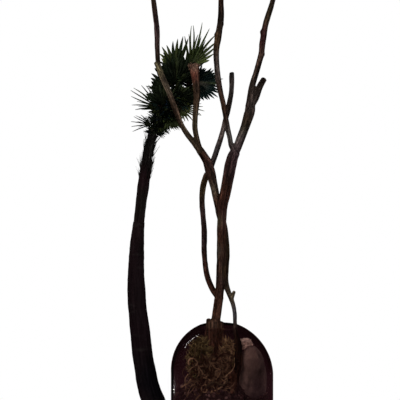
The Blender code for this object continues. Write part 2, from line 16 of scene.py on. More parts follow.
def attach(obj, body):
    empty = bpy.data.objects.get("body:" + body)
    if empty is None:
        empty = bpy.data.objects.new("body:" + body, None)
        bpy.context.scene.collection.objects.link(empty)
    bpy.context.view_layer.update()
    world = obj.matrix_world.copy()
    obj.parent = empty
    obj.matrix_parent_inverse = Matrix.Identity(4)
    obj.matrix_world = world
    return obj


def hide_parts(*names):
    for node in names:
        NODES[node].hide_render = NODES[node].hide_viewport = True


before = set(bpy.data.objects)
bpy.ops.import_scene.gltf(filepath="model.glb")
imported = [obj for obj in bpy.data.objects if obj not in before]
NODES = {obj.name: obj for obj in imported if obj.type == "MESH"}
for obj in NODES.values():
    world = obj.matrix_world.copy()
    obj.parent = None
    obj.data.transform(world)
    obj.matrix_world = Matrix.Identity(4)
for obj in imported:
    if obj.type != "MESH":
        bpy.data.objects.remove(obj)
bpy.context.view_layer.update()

# ---------------------------------------------------------------- sizes as in the part's source (metres)
GAP = 0.0003
VESSEL_X, VESSEL_Y = 0.016, -0.006
VESSEL_RADIUS, VESSEL_WALL, VESSEL_FLOOR = 0.075, 0.004, 0.007
VESSEL_DOME_Z, VESSEL_LEAN, MOUTH_RADIUS = 0.142, 0.004, 0.0285
VESSEL_LOW, VESSEL_HEEL = 0.0173, 0.008
TRUNK_LOW = 0.0356
BLADE_DROOP = 0.10

# sizes of the meshes made here: a blade's sheet, the voxels of a fused skin, and what sets the grain
# of one branch off from the next one's
BLADE_THICKNESS, SKIN_VOXEL, GRAIN_STEP = 0.0004, 0.0009, 0.37

# ---------------------------------------------------------------- routes: x, y, z and radius in millimetres
MAIN_STEM = [
    (4, -14, 118, 10.5), (4, -14, 150, 9.5), (5, -12.5, 185, 8.2), (6.4, -11, 216, 6.9),
    (10.8, -9, 248, 6.6), (14.6, -8, 285, 7.0), (15, -8, 330, 6.9), (15.2, -8, 358, 6.6),
    (16.7, -8, 383, 7.0), (20.4, -8, 405, 8.0), (25.8, -8, 433, 8.4), (31.4, -8, 458, 8.3),
    (35.5, -8, 467, 7.4),
]
RIGHT_BRANCH = [
    (34.5, -8, 465, 6.6), (39, -8, 475, 6.6), (47.5, -9, 497, 6.6), (52.5, -10, 512, 7.0),
    (56.6, -12, 527, 7.5), (57.6, -13, 543, 5.8), (59.6, -14, 561, 4.7), (65, -15, 580, 4.4),
    (73, -17, 609, 4.4), (74.8, -18, 625, 4.7), (79, -19.5, 650, 4.5), (87, -21.5, 677, 4.0),
    (94.4, -23, 704, 3.8), (98, -24, 728, 3.2), (104, -26, 753, 2.4),
]
RIGHT_STUB = [(55, -12, 527, 4.2), (64.8, -13, 544, 4.7), (70.5, -14.5, 560, 4.7), (77.7, -16, 572, 4.3)]
CENTRE_BRANCH = [
    (37, -8, 465, 4.4), (29.9, -9, 474.5, 4.2), (27.6, -10, 486, 4.0), (23.9, -11, 503, 4.0),
    (19, -12.5, 530, 3.8), (12.9, -14, 556, 3.9), (8.6, -14, 583, 4.1), (7.8, -14, 614, 4.5),
    (11.5, -15, 640, 4.8), (14.3, -16, 660, 4.4), (14.3, -16, 686, 4.1), (15.4, -17, 709, 3.8),
    (20.6, -18, 736, 3.2), (22.2, -19, 767, 2.3),
]
SECOND_STEM = [
    (27, -43, 118, 5.2), (32.8, -41, 139, 5.7), (38.5, -35, 163, 5.7), (38.8, -28, 182, 5.2),
    (36.0, -17, 199, 3.8), (35.0, -8, 213, 2.9), (34.6, -3, 230, 3.2), (32, 4, 243, 3.6),
    (26.8, 7.5, 256, 3.9), (22, 9.5, 272, 4.8), (21.4, 9.5, 300, 5.6), (22.2, 8.5, 322, 5.9),
    (18, 8, 356, 5.9), (11.8, 6.5, 380, 5.7),
]
LEFT_STEM = [
    (12.6, 6.6, 377, 5.5), (8.4, 5, 396, 5.5), (5.2, 1, 412, 5.7), (2.2, -1, 424, 6.2),
    (-1.3, -3, 437.5, 7.0), (-5.3, -4, 451, 6.5), (-11.2, -6, 461, 5.8), (-17.1, -8, 469.5, 5.8),
]
FAR_LEFT_BRANCH = [
    (-15, -7.3, 466.5, 5.2), (-25.8, -12, 479.7, 4.5), (-34, -16, 490, 3.9), (-42.5, -20, 504, 3.8),
    (-50, -24.5, 522, 3.8), (-61.7, -29, 552, 4.0), (-70.4, -30, 572, 4.1), (-76, -30, 590, 3.7),
    (-77.6, -30, 612, 3.7), (-78.2, -30, 642, 3.8), (-81, -30, 666, 3.8), (-84.4, -30, 690, 3.7),
    (-88.6, -30, 716, 3.4), (-89, -31, 746, 2.6),
]
FAR_LEFT_STUB = [(-72, -30, 578, 2.6), (-76.5, -30.5, 586, 2.8), (-79.6, -31, 593.5, 2.4)]
LEFT_BRANCH = [
    (-15.5, -7, 466, 4.8), (-19.4, -9, 480, 4.4), (-22.9, -12, 496, 4.1), (-23.4, -15, 512, 4.1),
    (-21.6, -18.5, 534, 4.4), (-21, -20.5, 553, 5.0), (-23, -22, 573, 5.6), (-24.4, -22, 582, 6.6),
    (-25.2, -22, 590, 8.4),
]
BACK_BRANCH = [
    (-2, 0, 440, 4.6), (5.9, 4.5, 461.7, 4.2), (11.2, 7, 477, 4.2), (17.9, 9, 499, 4.1),
    (22.8, 9, 518.5, 3.9), (27, 8, 539, 3.9), (29.9, 5, 557, 3.9), (30.6, 3, 574, 3.9), (30.8, 2, 584, 3.7),
]
SIDE_STICK = [
    (13, -8, 249, 4.0), (3.6, -3, 261, 4.3), (-3, 2, 275, 4.3), (-7.4, 5.5, 291, 4.3), (-9.8, 8, 320, 4.2),
    (-10.4, 8.5, 350, 4.2), (-13.2, 9, 391, 4.2), (-11.9, 9, 414, 4.3), (-7.6, 9, 430, 4.6),
    (-5.4, 9, 435, 4.6),
]
LOW_STUB = [(30, 6, 247, 2.6), (32, 5.5, 253, 2.8), (34.6, 5, 260, 2.4)]
ROOT_STUMP = [
    (-5, -2, 130, 10), (-5, -2, 160, 8), (-4.2, -2, 190, 6.2), (-3, -2, 208, 4.9), (-2.6, -2, 219, 4.4),
]
STUMP_FRONT = [(1, -17, 126, 9), (0.8, -17, 160, 8), (1.2, -17, 195, 7.2), (1.5, -17, 218, 6.8)]
STUMP_RIGHT = [
    (13.5, -15, 126, 8), (13.2, -15, 160, 6.4), (13.4, -15, 190, 5.6), (13.6, -14.5, 207, 5.2),
    (13.8, -14, 217, 5.0),
]
STUMP_ROOTS = [
    [(-3, -10, 170, 4.0), (-10, -18, 150, 3.6), (-14, -28, 138, 2.6)],
    [(8, -16, 168, 4.4), (10, -28, 150, 3.6), (6, -40, 138, 2.6)],
    [(27, -42, 150, 4.4), (30, -49, 136, 3.6), (28, -56, 124, 2.6)],
]
ROOT_TWIGS = [
    [(-14, -46, 140, 2.0), (-15, -45, 160, 1.9), (-13.6, -40, 182, 1.5)],
    [(-8, -58, 134, 2.0), (3, -60, 141, 2.2), (14, -60, 137, 2.0), (22, -56, 142, 1.6)],
    [(-22, -44, 139, 1.8), (-17, -50, 151, 1.9), (-6, -52, 160, 1.8), (4, -49, 157, 1.5)],
]
TRUNK_LOWER = [
    (-72.6, 55, 32, 17.9), (-75.8, 55, 50, 17.9), (-82.5, 55, 67, 17.8), (-90.4, 55, 88, 17.3),
    (-98.6, 55, 116, 16.2), (-104.8, 55, 151, 15.9), (-109.5, 55, 193, 15.1), (-113.7, 55, 232, 14.1),
    (-115.5, 55, 271, 13.3), (-114.9, 55, 302, 12.0), (-113.4, 55, 333, 10.2), (-110.9, 55, 361, 8.8),
]
TRUNK_UPPER = [
    (-111.1, 55, 359, 8.4), (-107.2, 55, 395, 8.5), (-103.1, 55, 426, 8.5), (-99.4, 55, 449, 7.6),
    (-95.5, 55, 475.6, 6.4), (-92.4, 55, 488, 6.0),
]
CROWN_STEM = [
    (-93, 55, 486, 5.6), (-85.4, 55, 507, 5.6), (-76.1, 55, 525, 5.4), (-64.5, 55, 545.5, 5.2),
    (-50.5, 55, 569, 4.6), (-37.5, 55, 593, 3.6),
]
# what shows of the sheath fibre lies closer to the trunk than its solid's outside
SLEEVE_LOWER = [(-102.6, 55, 429, 8.9), (-99.2, 55, 449, 8.6), (-97.6, 55, 460, 7.8)]
SLEEVE_UPPER = [(-97.0, 55, 464, 7.6), (-95.3, 55, 475.6, 7.6), (-91.6, 55, 491, 6.9), (-88.8, 55, 498, 6.4)]

# leaf: place along the crown stem, stalk direction, facing, stalk and blade length in millimetres, fingers,
# half angle, share of the blade that is webbed, where its longest finger is, how much the others fall short,
# finger width, tint
DARK, GREEN, TEAL = (0.0060, 0.0095, 0.0050), (0.011, 0.019, 0.0070), (0.0052, 0.0115, 0.0105)
# the lime tint is the leaves' own yellow-green and also stands for their painted highlight
LIME_AND_HIGHLIGHT, STRAW, OLIVE = (0.052, 0.064, 0.018), (0.030, 0.040, 0.012), (0.022, 0.034, 0.010)
MID_GREEN, FERN, DEEP = (0.012, 0.019, 0.008), (0.014, 0.019, 0.008), (0.009, 0.015, 0.006)
GREY_GREEN, DARK_TEAL, DUSTY = (0.008, 0.012, 0.006), (0.0036, 0.0080, 0.0076), (0.013, 0.014, 0.012)
BLUE_CAST, RED_CAST, YELLOW_CAST = (0.0040, 0.0080, 0.0150), (0.0160, 0.0075, 0.0070), (0.024, 0.032, 0.009)
LEAVES = [
    ("top_right", 1.00, (0.58, -0.10, 0.81), (0.1, -1.0, 0.1), 14, 69, 9, 44, 0.30, 0.4, 0.34, 1.0, OLIVE),
    ("top_left", 0.86, (-0.24, 0.06, 0.97), (-0.1, -1.0, 0.0), 15, 60, 8, 38, 0.36, -0.7, 0.17, 1.5, DEEP),
    ("right", 0.90, (0.94, -0.28, -0.18), (0.1, -0.9, 0.4), 17, 44, 17, 66, 0.60, 0.0, 0.16, 1.0, DARK_TEAL),
    ("front", 0.74, (0.10, -0.62, 0.78), (0.1, -0.8, -0.5), 9, 47, 11, 60, 0.66, -0.2, 0.10, 1.2, DARK),
    ("upper_left", 0.66, (-0.64, -0.14, 0.76), (-0.1, -1.0, 0.2), 7, 38, 9, 52, 0.60, -0.4, 0.25, 1.0, DARK),
    ("front_right", 0.64, (0.66, -0.74, 0.02), (0.3, -0.8, -0.4), 9, 35, 11, 58, 0.66, 0.0, 0.10, 1.1, DARK),
    ("low_right", 0.54, (0.86, -0.36, -0.36), (0.2, -0.9, 0.5), 9, 43, 12, 56, 0.40, 0.5, 0.25, 0.9, STRAW),
    ("front_low", 0.46, (-0.12, -0.80, 0.60), (0.1, -0.6, -0.7), 7, 36, 11, 60, 0.66, 0.0, 0.10, 1.1, DARK),
    ("left", 0.42, (-0.82, -0.24, 0.50), (-0.2, -0.9, 0.3), 5, 52, 7, 40, 0.20, 0.0, 0.40, 0.9, GREY_GREEN),
    ("low_front", 0.35, (0.70, -0.62, -0.40), (0.3, -0.7, 0.6), 8, 31, 10, 54, 0.50, 0.0, 0.20, 1.0, FERN),
    ("low_left", 0.20, (-0.74, -0.50, 0.30), (-0.2, -0.9, 0.3), 4, 34, 7, 44, 0.20, 0.5, 0.30, 0.8, DARK),
    ("foot", 0.22, (0.40, -0.86, -0.32), (0.4, -0.7, 0.5), 5, 26, 9, 46, 0.25, 0.0, 0.30, 0.7, DARK),
    ("back_top", 0.92, (0.25, 0.65, 0.75), (0.1, 0.7, -0.6), 14, 44, 11, 52, 0.55, 0.0, 0.16, 1.1, MID_GREEN),
    ("back_right", 0.70, (0.75, 0.65, 0.10), (0.3, 0.6, 0.8), 14, 42, 11, 52, 0.50, 0.0, 0.16, 1.0, TEAL),
    ("back_left", 0.60, (-0.60, 0.75, 0.45), (-0.2, 0.6, 0.8), 12, 40, 11, 52, 0.50, 0.0, 0.16, 1.0, GREEN),
    ("back_low", 0.38, (0.30, 0.90, -0.25), (0.2, 0.4, 0.9), 10, 36, 11, 52, 0.50, 0.0, 0.16, 1.0, DARK),
]

# yellow-green towards one side of a leaf, partly its own yellowing and partly painted highlight, how pale the
# ribs of its fingers are, how much slimmer its fingers get towards its other side, and how many layers lie
# behind it
EXTRAS = {
    "top_left": (1.5, 0.1, 0.2, 1), "top_right": (-0.5, 0.2, 0.4, 1), "right": (0.0, 1.0, 0.0, 2),
    "low_right": (0.3, 0.9, 0.0, 2), "left": (0.0, 0.1, 0.0, 1), "low_left": (0.0, 0.1, 0.0, 1),
}

SMOOTH_STONE = ((58, -24, 140), (19, 16, 45))
COARSE_STONE = ((49, -17, 186), (11, 11, 8.5))
MOSS_LEFT = ((-16, -24, 166), (15, 14, 32))
MOSS_CENTRE = ((24, -22, 161), (8.5, 10, 33))
MOSS_BACK = ((18, 26, 146), (38, 22, 24))


# ---------------------------------------------------------------- curves
def smooth_route(route, step):
    """A smooth curve through the route's points, as rows of x, y, z and radius in metres."""
    knots = np.array(route, float) * 0.001
    padded = np.vstack([knots[0] * 2 - knots[1], knots, knots[-1] * 2 - knots[-2]])
    rows = []
    for before, start, end, after in zip(padded, padded[1:], padded[2:], padded[3:]):
        length = np.linalg.norm(end - start)
        count = max(1, round(length / step))
        start_slope = (end - before) * length / (np.linalg.norm(start - before) + length)
        end_slope = (after - start) * length / (np.linalg.norm(after - end) + length)
        t = (np.arange(count) / count)[:, None]
        rows.append(
            start * (2 * t**3 - 3 * t**2 + 1)
            + start_slope * (t**3 - 2 * t**2 + t)
            + end * (3 * t**2 - 2 * t**3)
            + end_slope * (t**3 - t**2)
        )
    return np.vstack([*rows, knots[-1:]])


def frames_along(centres):
    """Tangent, across and beside at each centre, turned as little as possible from one to the next."""
    points = [Vector(centre) for centre in centres]
    tangent = (points[1] - points[0]).normalized()
    across = tangent.orthogonal().normalized()
    found = []
    for index in range(len(points)):
        ahead = points[min(index + 1, len(points) - 1)] - points[max(index - 1, 0)]
        turned = ahead.normalized()
        across = tangent.rotation_difference(turned) @ across
        tangent = turned
        found.append((tangent.copy(), across.copy(), tangent.cross(across)))
    return found


def square_to(axis, direction):
    """The direction with what runs along the axis taken out of it."""
    return (direction - axis * direction.dot(axis)).normalized()


def fractal(point, octaves):
    return noise.fractal(point, 1.0, 2.1, octaves, noise_basis="PERLIN_ORIGINAL")


def grained(local, across, along, octaves=3, shift=0):
    """Noise drawn out along a stick; local is the place on it in millimetres."""
    return fractal(Vector((local.x * across, local.y * across, local.z * along + shift)), octaves)


# ---------------------------------------------------------------- shapes
class Shape:
    """Points, faces, a tint and a grain place for each point, gathered bit by bit into one piece."""

    def __init__(self):
        self.points, self.faces, self.tints, self.grains = [], [], [], []

    def add(self, points, faces, tints, grains=None):
        first = len(self.points)
        self.points += [tuple(point) for point in points]
        self.faces += [tuple(first + index for index in face) for face in faces]
        one_tint = isinstance(tints, tuple)
        self.tints += [tints] * len(points) if one_tint else list(tints)
        self.grains += [tuple(grain) for grain in (points if grains is None else grains)]

    def tube(self, rows, sides, tint, flat=1.0, round_ends=0.5):
        """A stick along rows of x, y, z, radius; its ends are rounded, and flat presses it across."""
        rows = np.array(rows, float)
        head, tail = rows[0].copy(), rows[-1].copy()
        toward = rows[0, :3] - rows[1, :3]
        onward = rows[-1, :3] - rows[-2, :3]
        head[:3] += toward / max(np.linalg.norm(toward), 1e-9) * head[3] * round_ends
        tail[:3] += onward / max(np.linalg.norm(onward), 1e-9) * tail[3] * round_ends
        head[3] *= 0.45
        tail[3] *= 0.45
        rows = np.vstack([head, rows, tail])
        points, grains = [], []
        length = 0.0
        for index, (_, across, beside) in enumerate(frames_along(rows[:, :3])):
            if index:
                length += float(np.linalg.norm(rows[index, :3] - rows[index - 1, :3]))
            centre, radius = Vector(rows[index, :3]), rows[index, 3]
            for side in range(sides):
                angle = 2 * math.pi * side / sides
                spoke = across * math.cos(angle) + beside * (math.sin(angle) * flat)
                points.append(centre + spoke * radius)
                grains.append((math.cos(angle) * radius, math.sin(angle) * radius, length))
        faces = []
        for ring in range(len(rows) - 1):
            for side in range(sides):
                low, high = ring * sides, (ring + 1) * sides
                following = (side + 1) % sides
                faces.append((low + side, low + following, high + following, high + side))
        faces.append(tuple(range(sides))[::-1])
        faces.append(tuple((len(rows) - 1) * sides + side for side in range(sides)))
        self.add(points, faces, tint, grains)

    def made(self, name, look, smooth=True):
        mesh = bpy.data.meshes.new(name)
        mesh.from_pydata(self.points, [], self.faces)
        give_attributes(mesh, self.tints, self.grains)
        mesh.materials.append(look)
        if smooth:
            mesh.shade_smooth()
        return in_scene(name, mesh)


def in_scene(name, data):
    """A new object in the scene, made of the mesh, lamp or camera."""
    thing = bpy.data.objects.new(name, data)
    bpy.context.scene.collection.objects.link(thing)
    return thing


def give_attributes(mesh, tints, grains):
    with_alpha = np.column_stack([np.array(tints, np.float32), np.ones(len(tints))])
    tint = mesh.attributes.new("tint", "FLOAT_COLOR", "POINT")
    tint.data.foreach_set("color", with_alpha.ravel())
    grain = mesh.attributes.new("grain", "FLOAT_VECTOR", "POINT")
    grain.data.foreach_set("vector", np.array(grains, np.float32).ravel())


def turned_shape(outline, segments, x, y, warp=None):
    """Points and faces of an outline of (radius, height) turned about a vertical axis."""
    points, faces, rings = [], [], []
    for radius, height in outline:
        count = 1 if radius == 0 else segments
        rings.append(range(len(points), len(points) + count))
        for side in range(count):
            angle = 2 * math.pi * side / segments
            points.append(Vector((x + radius * math.cos(angle), y + radius * math.sin(angle), height)))
    if outline[0][0] != 0:
        rings.append(rings[0])
    for near, far in zip(rings, rings[1:]):
        for side in range(segments):
            following = (side + 1) % segments
            if len(near) == 1:
                faces.append((near[0], far[following], far[side]))
            elif len(far) == 1:
                faces.append((near[side], near[following], far[0]))
            else:
                faces.append((near[side], near[following], far[following], far[side]))
    return [warp(point) for point in points] if warp else points, faces


def icosphere(subdivisions):
    """Unit points and faces of a ball made of triangles."""
    golden = (1 + 5**0.5) / 2
    corners = [(a, b) for b in (golden, -golden) for a in (-1, 1)]
    points = [Vector((a, b, 0)).normalized() for a, b in corners]
    points += [Vector((0, a, b)).normalized() for a, b in corners]
    points += [Vector((b, 0, a)).normalized() for a, b in corners]
    longest_edge = 1.06
    faces = []
    for i, j, k in combinations(range(12), 3):
        one, two, three = points[i], points[j], points[k]
        if max((one - two).length, (two - three).length, (one - three).length) < longest_edge:
            outward = (two - one).cross(three - one).dot(one) > 0
            faces.append((i, j, k) if outward else (i, k, j))
    for _ in range(subdivisions):
        middles, finer = {}, []
        for a, b, c in faces:
            ends = []
            for pair in ((a, b), (b, c), (c, a)):
                key = tuple(sorted(pair))
                if key not in middles:
                    middles[key] = len(points)
                    points.append((points[pair[0]] + points[pair[1]]).normalized())
                ends.append(middles[key])
            ab, bc, ca = ends
            finer += [(a, ab, ca), (ab, b, bc), (ca, bc, c), (ab, bc, ca)]
        faces = finer
    return points, faces


BALLS = {level: icosphere(level) for level in (1, 4, 5)}


def mix3(first, second, share):
    share = min(max(share, 0.0), 1.0)
    return tuple(a + (b - a) * share for a, b in zip(first, second))


def scaled(tint, by):
    return tuple(value * by for value in tint)


# ---------------------------------------------------------------- node materials
def new_look(name, **sockets):
    look = bpy.data.materials.new(name)
    look.use_nodes = True
    shader = look.node_tree.nodes["Principled BSDF"]
    for key, value in sockets.items():
        shader.inputs[key.replace("_", " ")].default_value = value
    return look, look.node_tree, shader


def put(tree, kind, inputs, **settings):
    """A node with its settings and inputs; an input is a value or another node's output."""
    node = tree.nodes.new("ShaderNode" + kind)
    for key, value in settings.items():
        setattr(node, key, value)
    for key, value in inputs.items():
        if isinstance(value, bpy.types.NodeSocket):
            tree.links.new(value, node.inputs[key])
        else:
            node.inputs[key].default_value = value
    return node


def opaque(colour):
    """A colour of three numbers with its alpha; anything else stays as it is."""
    return (*colour, 1.0) if isinstance(colour, tuple) else colour


def grain_of(tree):
    return put(tree, "Attribute", {}, attribute_name="grain").outputs["Vector"]


def place_of(tree):
    return put(tree, "TexCoord", {}).outputs["Object"]


def tint_of(tree):
    return put(tree, "Attribute", {}, attribute_name="tint").outputs["Color"]


def grains(tree, where, scale, detail, stretch=(1, 1, 1), rough=0.55, twist=0.0):
    """Noise from 0 to 1; stretch squeezes it along an axis, so that a small number draws it out."""
    mapped = put(tree, "Mapping", {"Vector": where, "Scale": stretch}).outputs["Vector"]
    inputs = {"Vector": mapped, "Scale": scale, "Detail": detail, "Roughness": rough, "Distortion": twist}
    return put(tree, "TexNoise", inputs).outputs["Fac"]


def ramp(tree, factor, *stops):
    """Colours by factor; a stop is (place, grey or colour)."""
    node = put(tree, "ValToRGB", {"Fac": factor})
    band = node.color_ramp
    while len(band.elements) < len(stops):
        band.elements.new(0.5)
    for element, (place, colour) in zip(band.elements, stops):
        element.position = place
        element.color = opaque(colour if isinstance(colour, tuple) else (colour, colour, colour))
    return node.outputs["Color"]


def mixed(tree, factor, first, second, blend="MIX"):
    inputs = {0: factor, 6: opaque(first), 7: opaque(second)}
    return put(tree, "Mix", inputs, data_type="RGBA", blend_type=blend).outputs[2]


def shaded(tree, colour, factor, *stops):
    """The colour multiplied by a ramp of the factor."""
    return mixed(tree, 1.0, colour, ramp(tree, factor, *stops), "MULTIPLY")


def sums(tree, operation, first, second):
    return put(tree, "Math", {0: first, 1: second}, operation=operation).outputs[0]


def bumped(tree, shader, height, depth, strength):
    """Relief of the given depth in metres, which the shader's normal takes."""
    node = put(tree, "Bump", {"Height": height, "Strength": strength, "Distance": depth})
    tree.links.new(node.outputs["Normal"], shader.inputs["Normal"])


def finish_look(tree, shader, colour, rough=None):
    tree.links.new(colour, shader.inputs["Base Color"])
    if rough is not None:
        tree.links.new(rough, shader.inputs["Roughness"])


def bark_look(name, contrast=1.0):
    """Wood with its bark on: streaks along the stick, paler worn patches, dark pores and fine ridges."""
    look, tree, shader = new_look(name, Specular_IOR_Level=0.25)
    where = grain_of(tree)
    streak = grains(tree, where, 380, 5, (1, 1, 0.09), 0.62)
    bands = grains(tree, where, 150, 3, (1, 1, 0.10), 0.5, 0.3)
    fine = grains(tree, where, 1500, 4, (1, 1, 0.16), 0.6)
    patch = grains(tree, where, 85, 4, (1, 1, 0.5), 0.55, 0.4)
    pores = grains(tree, where, 900, 2, (0.5, 0.5, 1.3), 0.5)
    low, high = 1 - 0.62 * contrast, 1 + 1.15 * contrast
    colour = shaded(tree, tint_of(tree), streak, (0.34, low), (0.5, 0.92), (0.66, high))
    colour = shaded(tree, colour, bands, (0.36, 0.45), (0.5, 0.85), (0.64, 1.6))
    speck = grains(tree, where, 640, 2, (1, 1, 0.4), 0.5)
    colour = shaded(tree, colour, speck, (0.34, 0.5), (0.5, 0.95), (0.66, 1.7))
    worn = ramp(tree, patch, (0.48, 0.0), (0.68, 0.6))
    paler = mixed(tree, 1.0, colour, (1.5, 1.5, 1.46), "MULTIPLY")
    colour = mixed(tree, worn, colour, paler)
    colour = shaded(tree, colour, pores, (0.30, 0.45), (0.42, 1.0))
    finish_look(tree, shader, colour, ramp(tree, patch, (0.3, 0.55), (0.7, 0.85)))
    height = sums(tree, "ADD", streak, sums(tree, "MULTIPLY", fine, 0.45))
    bumped(tree, shader, height, 0.0009, 0.8)
    return look


def trunk_look():
    """Near-black palm bark: long fibres, a purple-brown cast and dusty edges on its old leaf scars."""
    look, tree, shader = new_look("palm_bark_look", Specular_IOR_Level=0.2)
    where = grain_of(tree)
    fibres = grains(tree, where, 420, 5, (1, 1, 0.05), 0.65)
    scars = grains(tree, where, 60, 4, (0.6, 0.6, 1.8), 0.6)
    cast = grains(tree, where, 22, 2, (1, 1, 0.6))
    colour = shaded(tree, tint_of(tree), fibres, (0.30, 0.45), (0.52, 1.0), (0.72, 2.1))
    colour = mixed(tree, ramp(tree, cast, (0.42, 0.0), (0.6, 0.35)), colour, (0.0105, 0.0050, 0.0066))
    colour = mixed(tree, ramp(tree, scars, (0.58, 0.0), (0.74, 0.4)), colour, (0.024, 0.021, 0.019))
    finish_look(tree, shader, colour, ramp(tree, scars, (0.3, 0.6), (0.7, 0.9)))
    bumped(tree, shader, sums(tree, "ADD", fibres, scars), 0.0011, 0.8)
    return look


def strand_look(name, scale):
    """Fibres, moss and roots: the tint of each strand, mottled along it."""
    look, tree, shader = new_look(name, Roughness=0.85, Specular_IOR_Level=0.15)
    mottle = grains(tree, place_of(tree), scale, 3)
    finish_look(tree, shader, shaded(tree, tint_of(tree), mottle, (0.3, 0.55), (0.55, 1.0), (0.75, 1.5)))
    bumped(tree, shader, mottle, 0.0004, 0.7)
    return look


def leaf_look():
    """A fan leaf: ribs along each finger, darker blotches, and a soft wax gloss."""
    look, tree, shader = new_look("leaf_look", Roughness=0.42, Specular_IOR_Level=0.35)
    ribs = grains(tree, grain_of(tree), 1300, 3, (0.05, 1, 1), 0.6)
    blotch = grains(tree, place_of(tree), 130, 3)
    colour = shaded(tree, tint_of(tree), ribs, (0.3, 0.6), (0.5, 1.0), (0.7, 1.6))
    colour = shaded(tree, colour, blotch, (0.35, 0.65), (0.65, 1.35))
    finish_look(tree, shader, colour, ramp(tree, blotch, (0.3, 0.34), (0.7, 0.58)))
    bumped(tree, shader, ribs, 0.0003, 0.8)
    return look


def soil_look():
    look, tree, shader = new_look("soil_look", Roughness=0.92, Specular_IOR_Level=0.2)
    crumbs = grains(tree, place_of(tree), 420, 6, rough=0.7)
    finish_look(tree, shader, shaded(tree, tint_of(tree), crumbs, (0.3, 0.4), (0.52, 1.0), (0.7, 1.9)))
    bumped(tree, shader, crumbs, 0.0012, 0.9)
    return look


def stone_look(name, scale, veins, roughness):
    look, tree, shader = new_look(name, Roughness=roughness, Specular_IOR_Level=0.35)
    where = place_of(tree)
    cloud = grains(tree, where, scale, 6, rough=0.62, twist=0.6)
    speck = grains(tree, where, scale * 14, 3)
    colour = shaded(tree, tint_of(tree), cloud, (0.32, 0.62), (0.5, 1.0), (0.7, veins))
    finish_look(tree, shader, shaded(tree, colour, speck, (0.36, 0.72), (0.6, 1.22)))
    bumped(tree, shader, sums(tree, "ADD", cloud, sums(tree, "MULTIPLY", speck, 0.3)), 0.0012, 0.6)
    return look


def glass_look():
    """Smoked purple glass: it darkens with the depth looked through, so its shoulders go nearly black."""
    look, tree, shader = new_look(
        "smoked_glass", Roughness=0.0, IOR=1.45, Transmission_Weight=1.0, Coat_Weight=0.6, Coat_Roughness=0.10
    )
    shader.inputs["Base Color"].default_value = (1.0, 1.0, 1.0, 1.0)
    clear = put(tree, "BsdfTransparent", {"Color": (0.98, 0.96, 0.96, 1.0)})
    path = put(tree, "LightPath", {})
    in_shadow = path.outputs["Is Shadow Ray"]
    swap = put(tree, "MixShader", {0: in_shadow, 1: shader.outputs[0], 2: clear.outputs[0]})
    depth = put(tree, "VolumeAbsorption", {"Color": (0.34, 0.22, 0.26, 1.0), "Density": 118.0})
    out = tree.nodes["Material Output"]
    tree.links.new(swap.outputs[0], out.inputs["Surface"])
    tree.links.new(depth.outputs[0], out.inputs["Volume"])
    return look


def lacquer_look():
    """Black-brown lacquered wood, with a faint open grain and dust on it."""
    look, tree, shader = new_look("plinth_lacquer", Roughness=0.35, Coat_Weight=0.35, Coat_Roughness=0.12)
    where = place_of(tree)
    rings = grains(tree, where, 40, 6, (0.25, 3.2, 3.2), 0.6, 0.8)
    dust = grains(tree, where, 160, 4)
    dark, plain, light = (0.010, 0.008, 0.007), (0.020, 0.015, 0.013), (0.034, 0.025, 0.021)
    colour = ramp(tree, rings, (0.3, dark), (0.55, plain), (0.72, light))
    colour = mixed(tree, ramp(tree, dust, (0.55, 0.0), (0.75, 0.12)), colour, (0.09, 0.085, 0.08))
    finish_look(tree, shader, colour, ramp(tree, dust, (0.3, 0.28), (0.7, 0.46)))
    bumped(tree, shader, rings, 0.0004, 0.5)
    return look


def felt_look():
    look, tree, shader = new_look("pad_felt", Roughness=1.0, Sheen_Weight=0.4, Specular_IOR_Level=0.1)
    fuzz = grains(tree, place_of(tree), 900, 5, rough=0.7)
    dark, plain, light = (0.014, 0.014, 0.015), (0.030, 0.030, 0.032), (0.06, 0.06, 0.062)
    finish_look(tree, shader, ramp(tree, fuzz, (0.3, dark), (0.55, plain), (0.75, light)))
    bumped(tree, shader, fuzz, 0.0005, 0.9)
    return look


def steel_look():
    look, tree, shader = new_look("zinc_steel", Metallic=1.0)
    where = place_of(tree)
    brushed = grains(tree, where, 700, 4, (1, 1, 0.12))
    stain = grains(tree, where, 220, 4)
    colour = ramp(tree, stain, (0.3, (0.34, 0.33, 0.31)), (0.6, (0.58, 0.58, 0.57)))
    finish_look(tree, shader, colour, ramp(tree, brushed, (0.3, 0.24), (0.7, 0.46)))
    bumped(tree, shader, brushed, 0.0001, 0.5)
    return look


def collar_look():
    look, tree, shader = new_look("collar_coat", Roughness=0.5)
    where = place_of(tree)
    orange_peel = grains(tree, where, 900, 3)
    wear = grains(tree, where, 120, 5)
    dark, plain, light = (0.012, 0.012, 0.012), (0.024, 0.022, 0.022), (0.05, 0.047, 0.045)
    colour = ramp(tree, wear, (0.35, dark), (0.6, plain), (0.75, light))
    finish_look(tree, shader, colour, ramp(tree, wear, (0.3, 0.4), (0.7, 0.62)))
    bumped(tree, shader, orange_peel, 0.0002, 0.5)
    return look


# ---------------------------------------------------------------- the branch tree
RED_BROWN, BROWN, GREY_BROWN = (0.027, 0.0105, 0.0058), (0.026, 0.0128, 0.0078), (0.024, 0.0155, 0.0125)
PALE, DARK_BROWN = (0.038, 0.024, 0.0155), (0.014, 0.0066, 0.0044)
CUT_WOOD = (0.085, 0.034, 0.024)
STUMP_BROWN = (0.150, 0.068, 0.044)

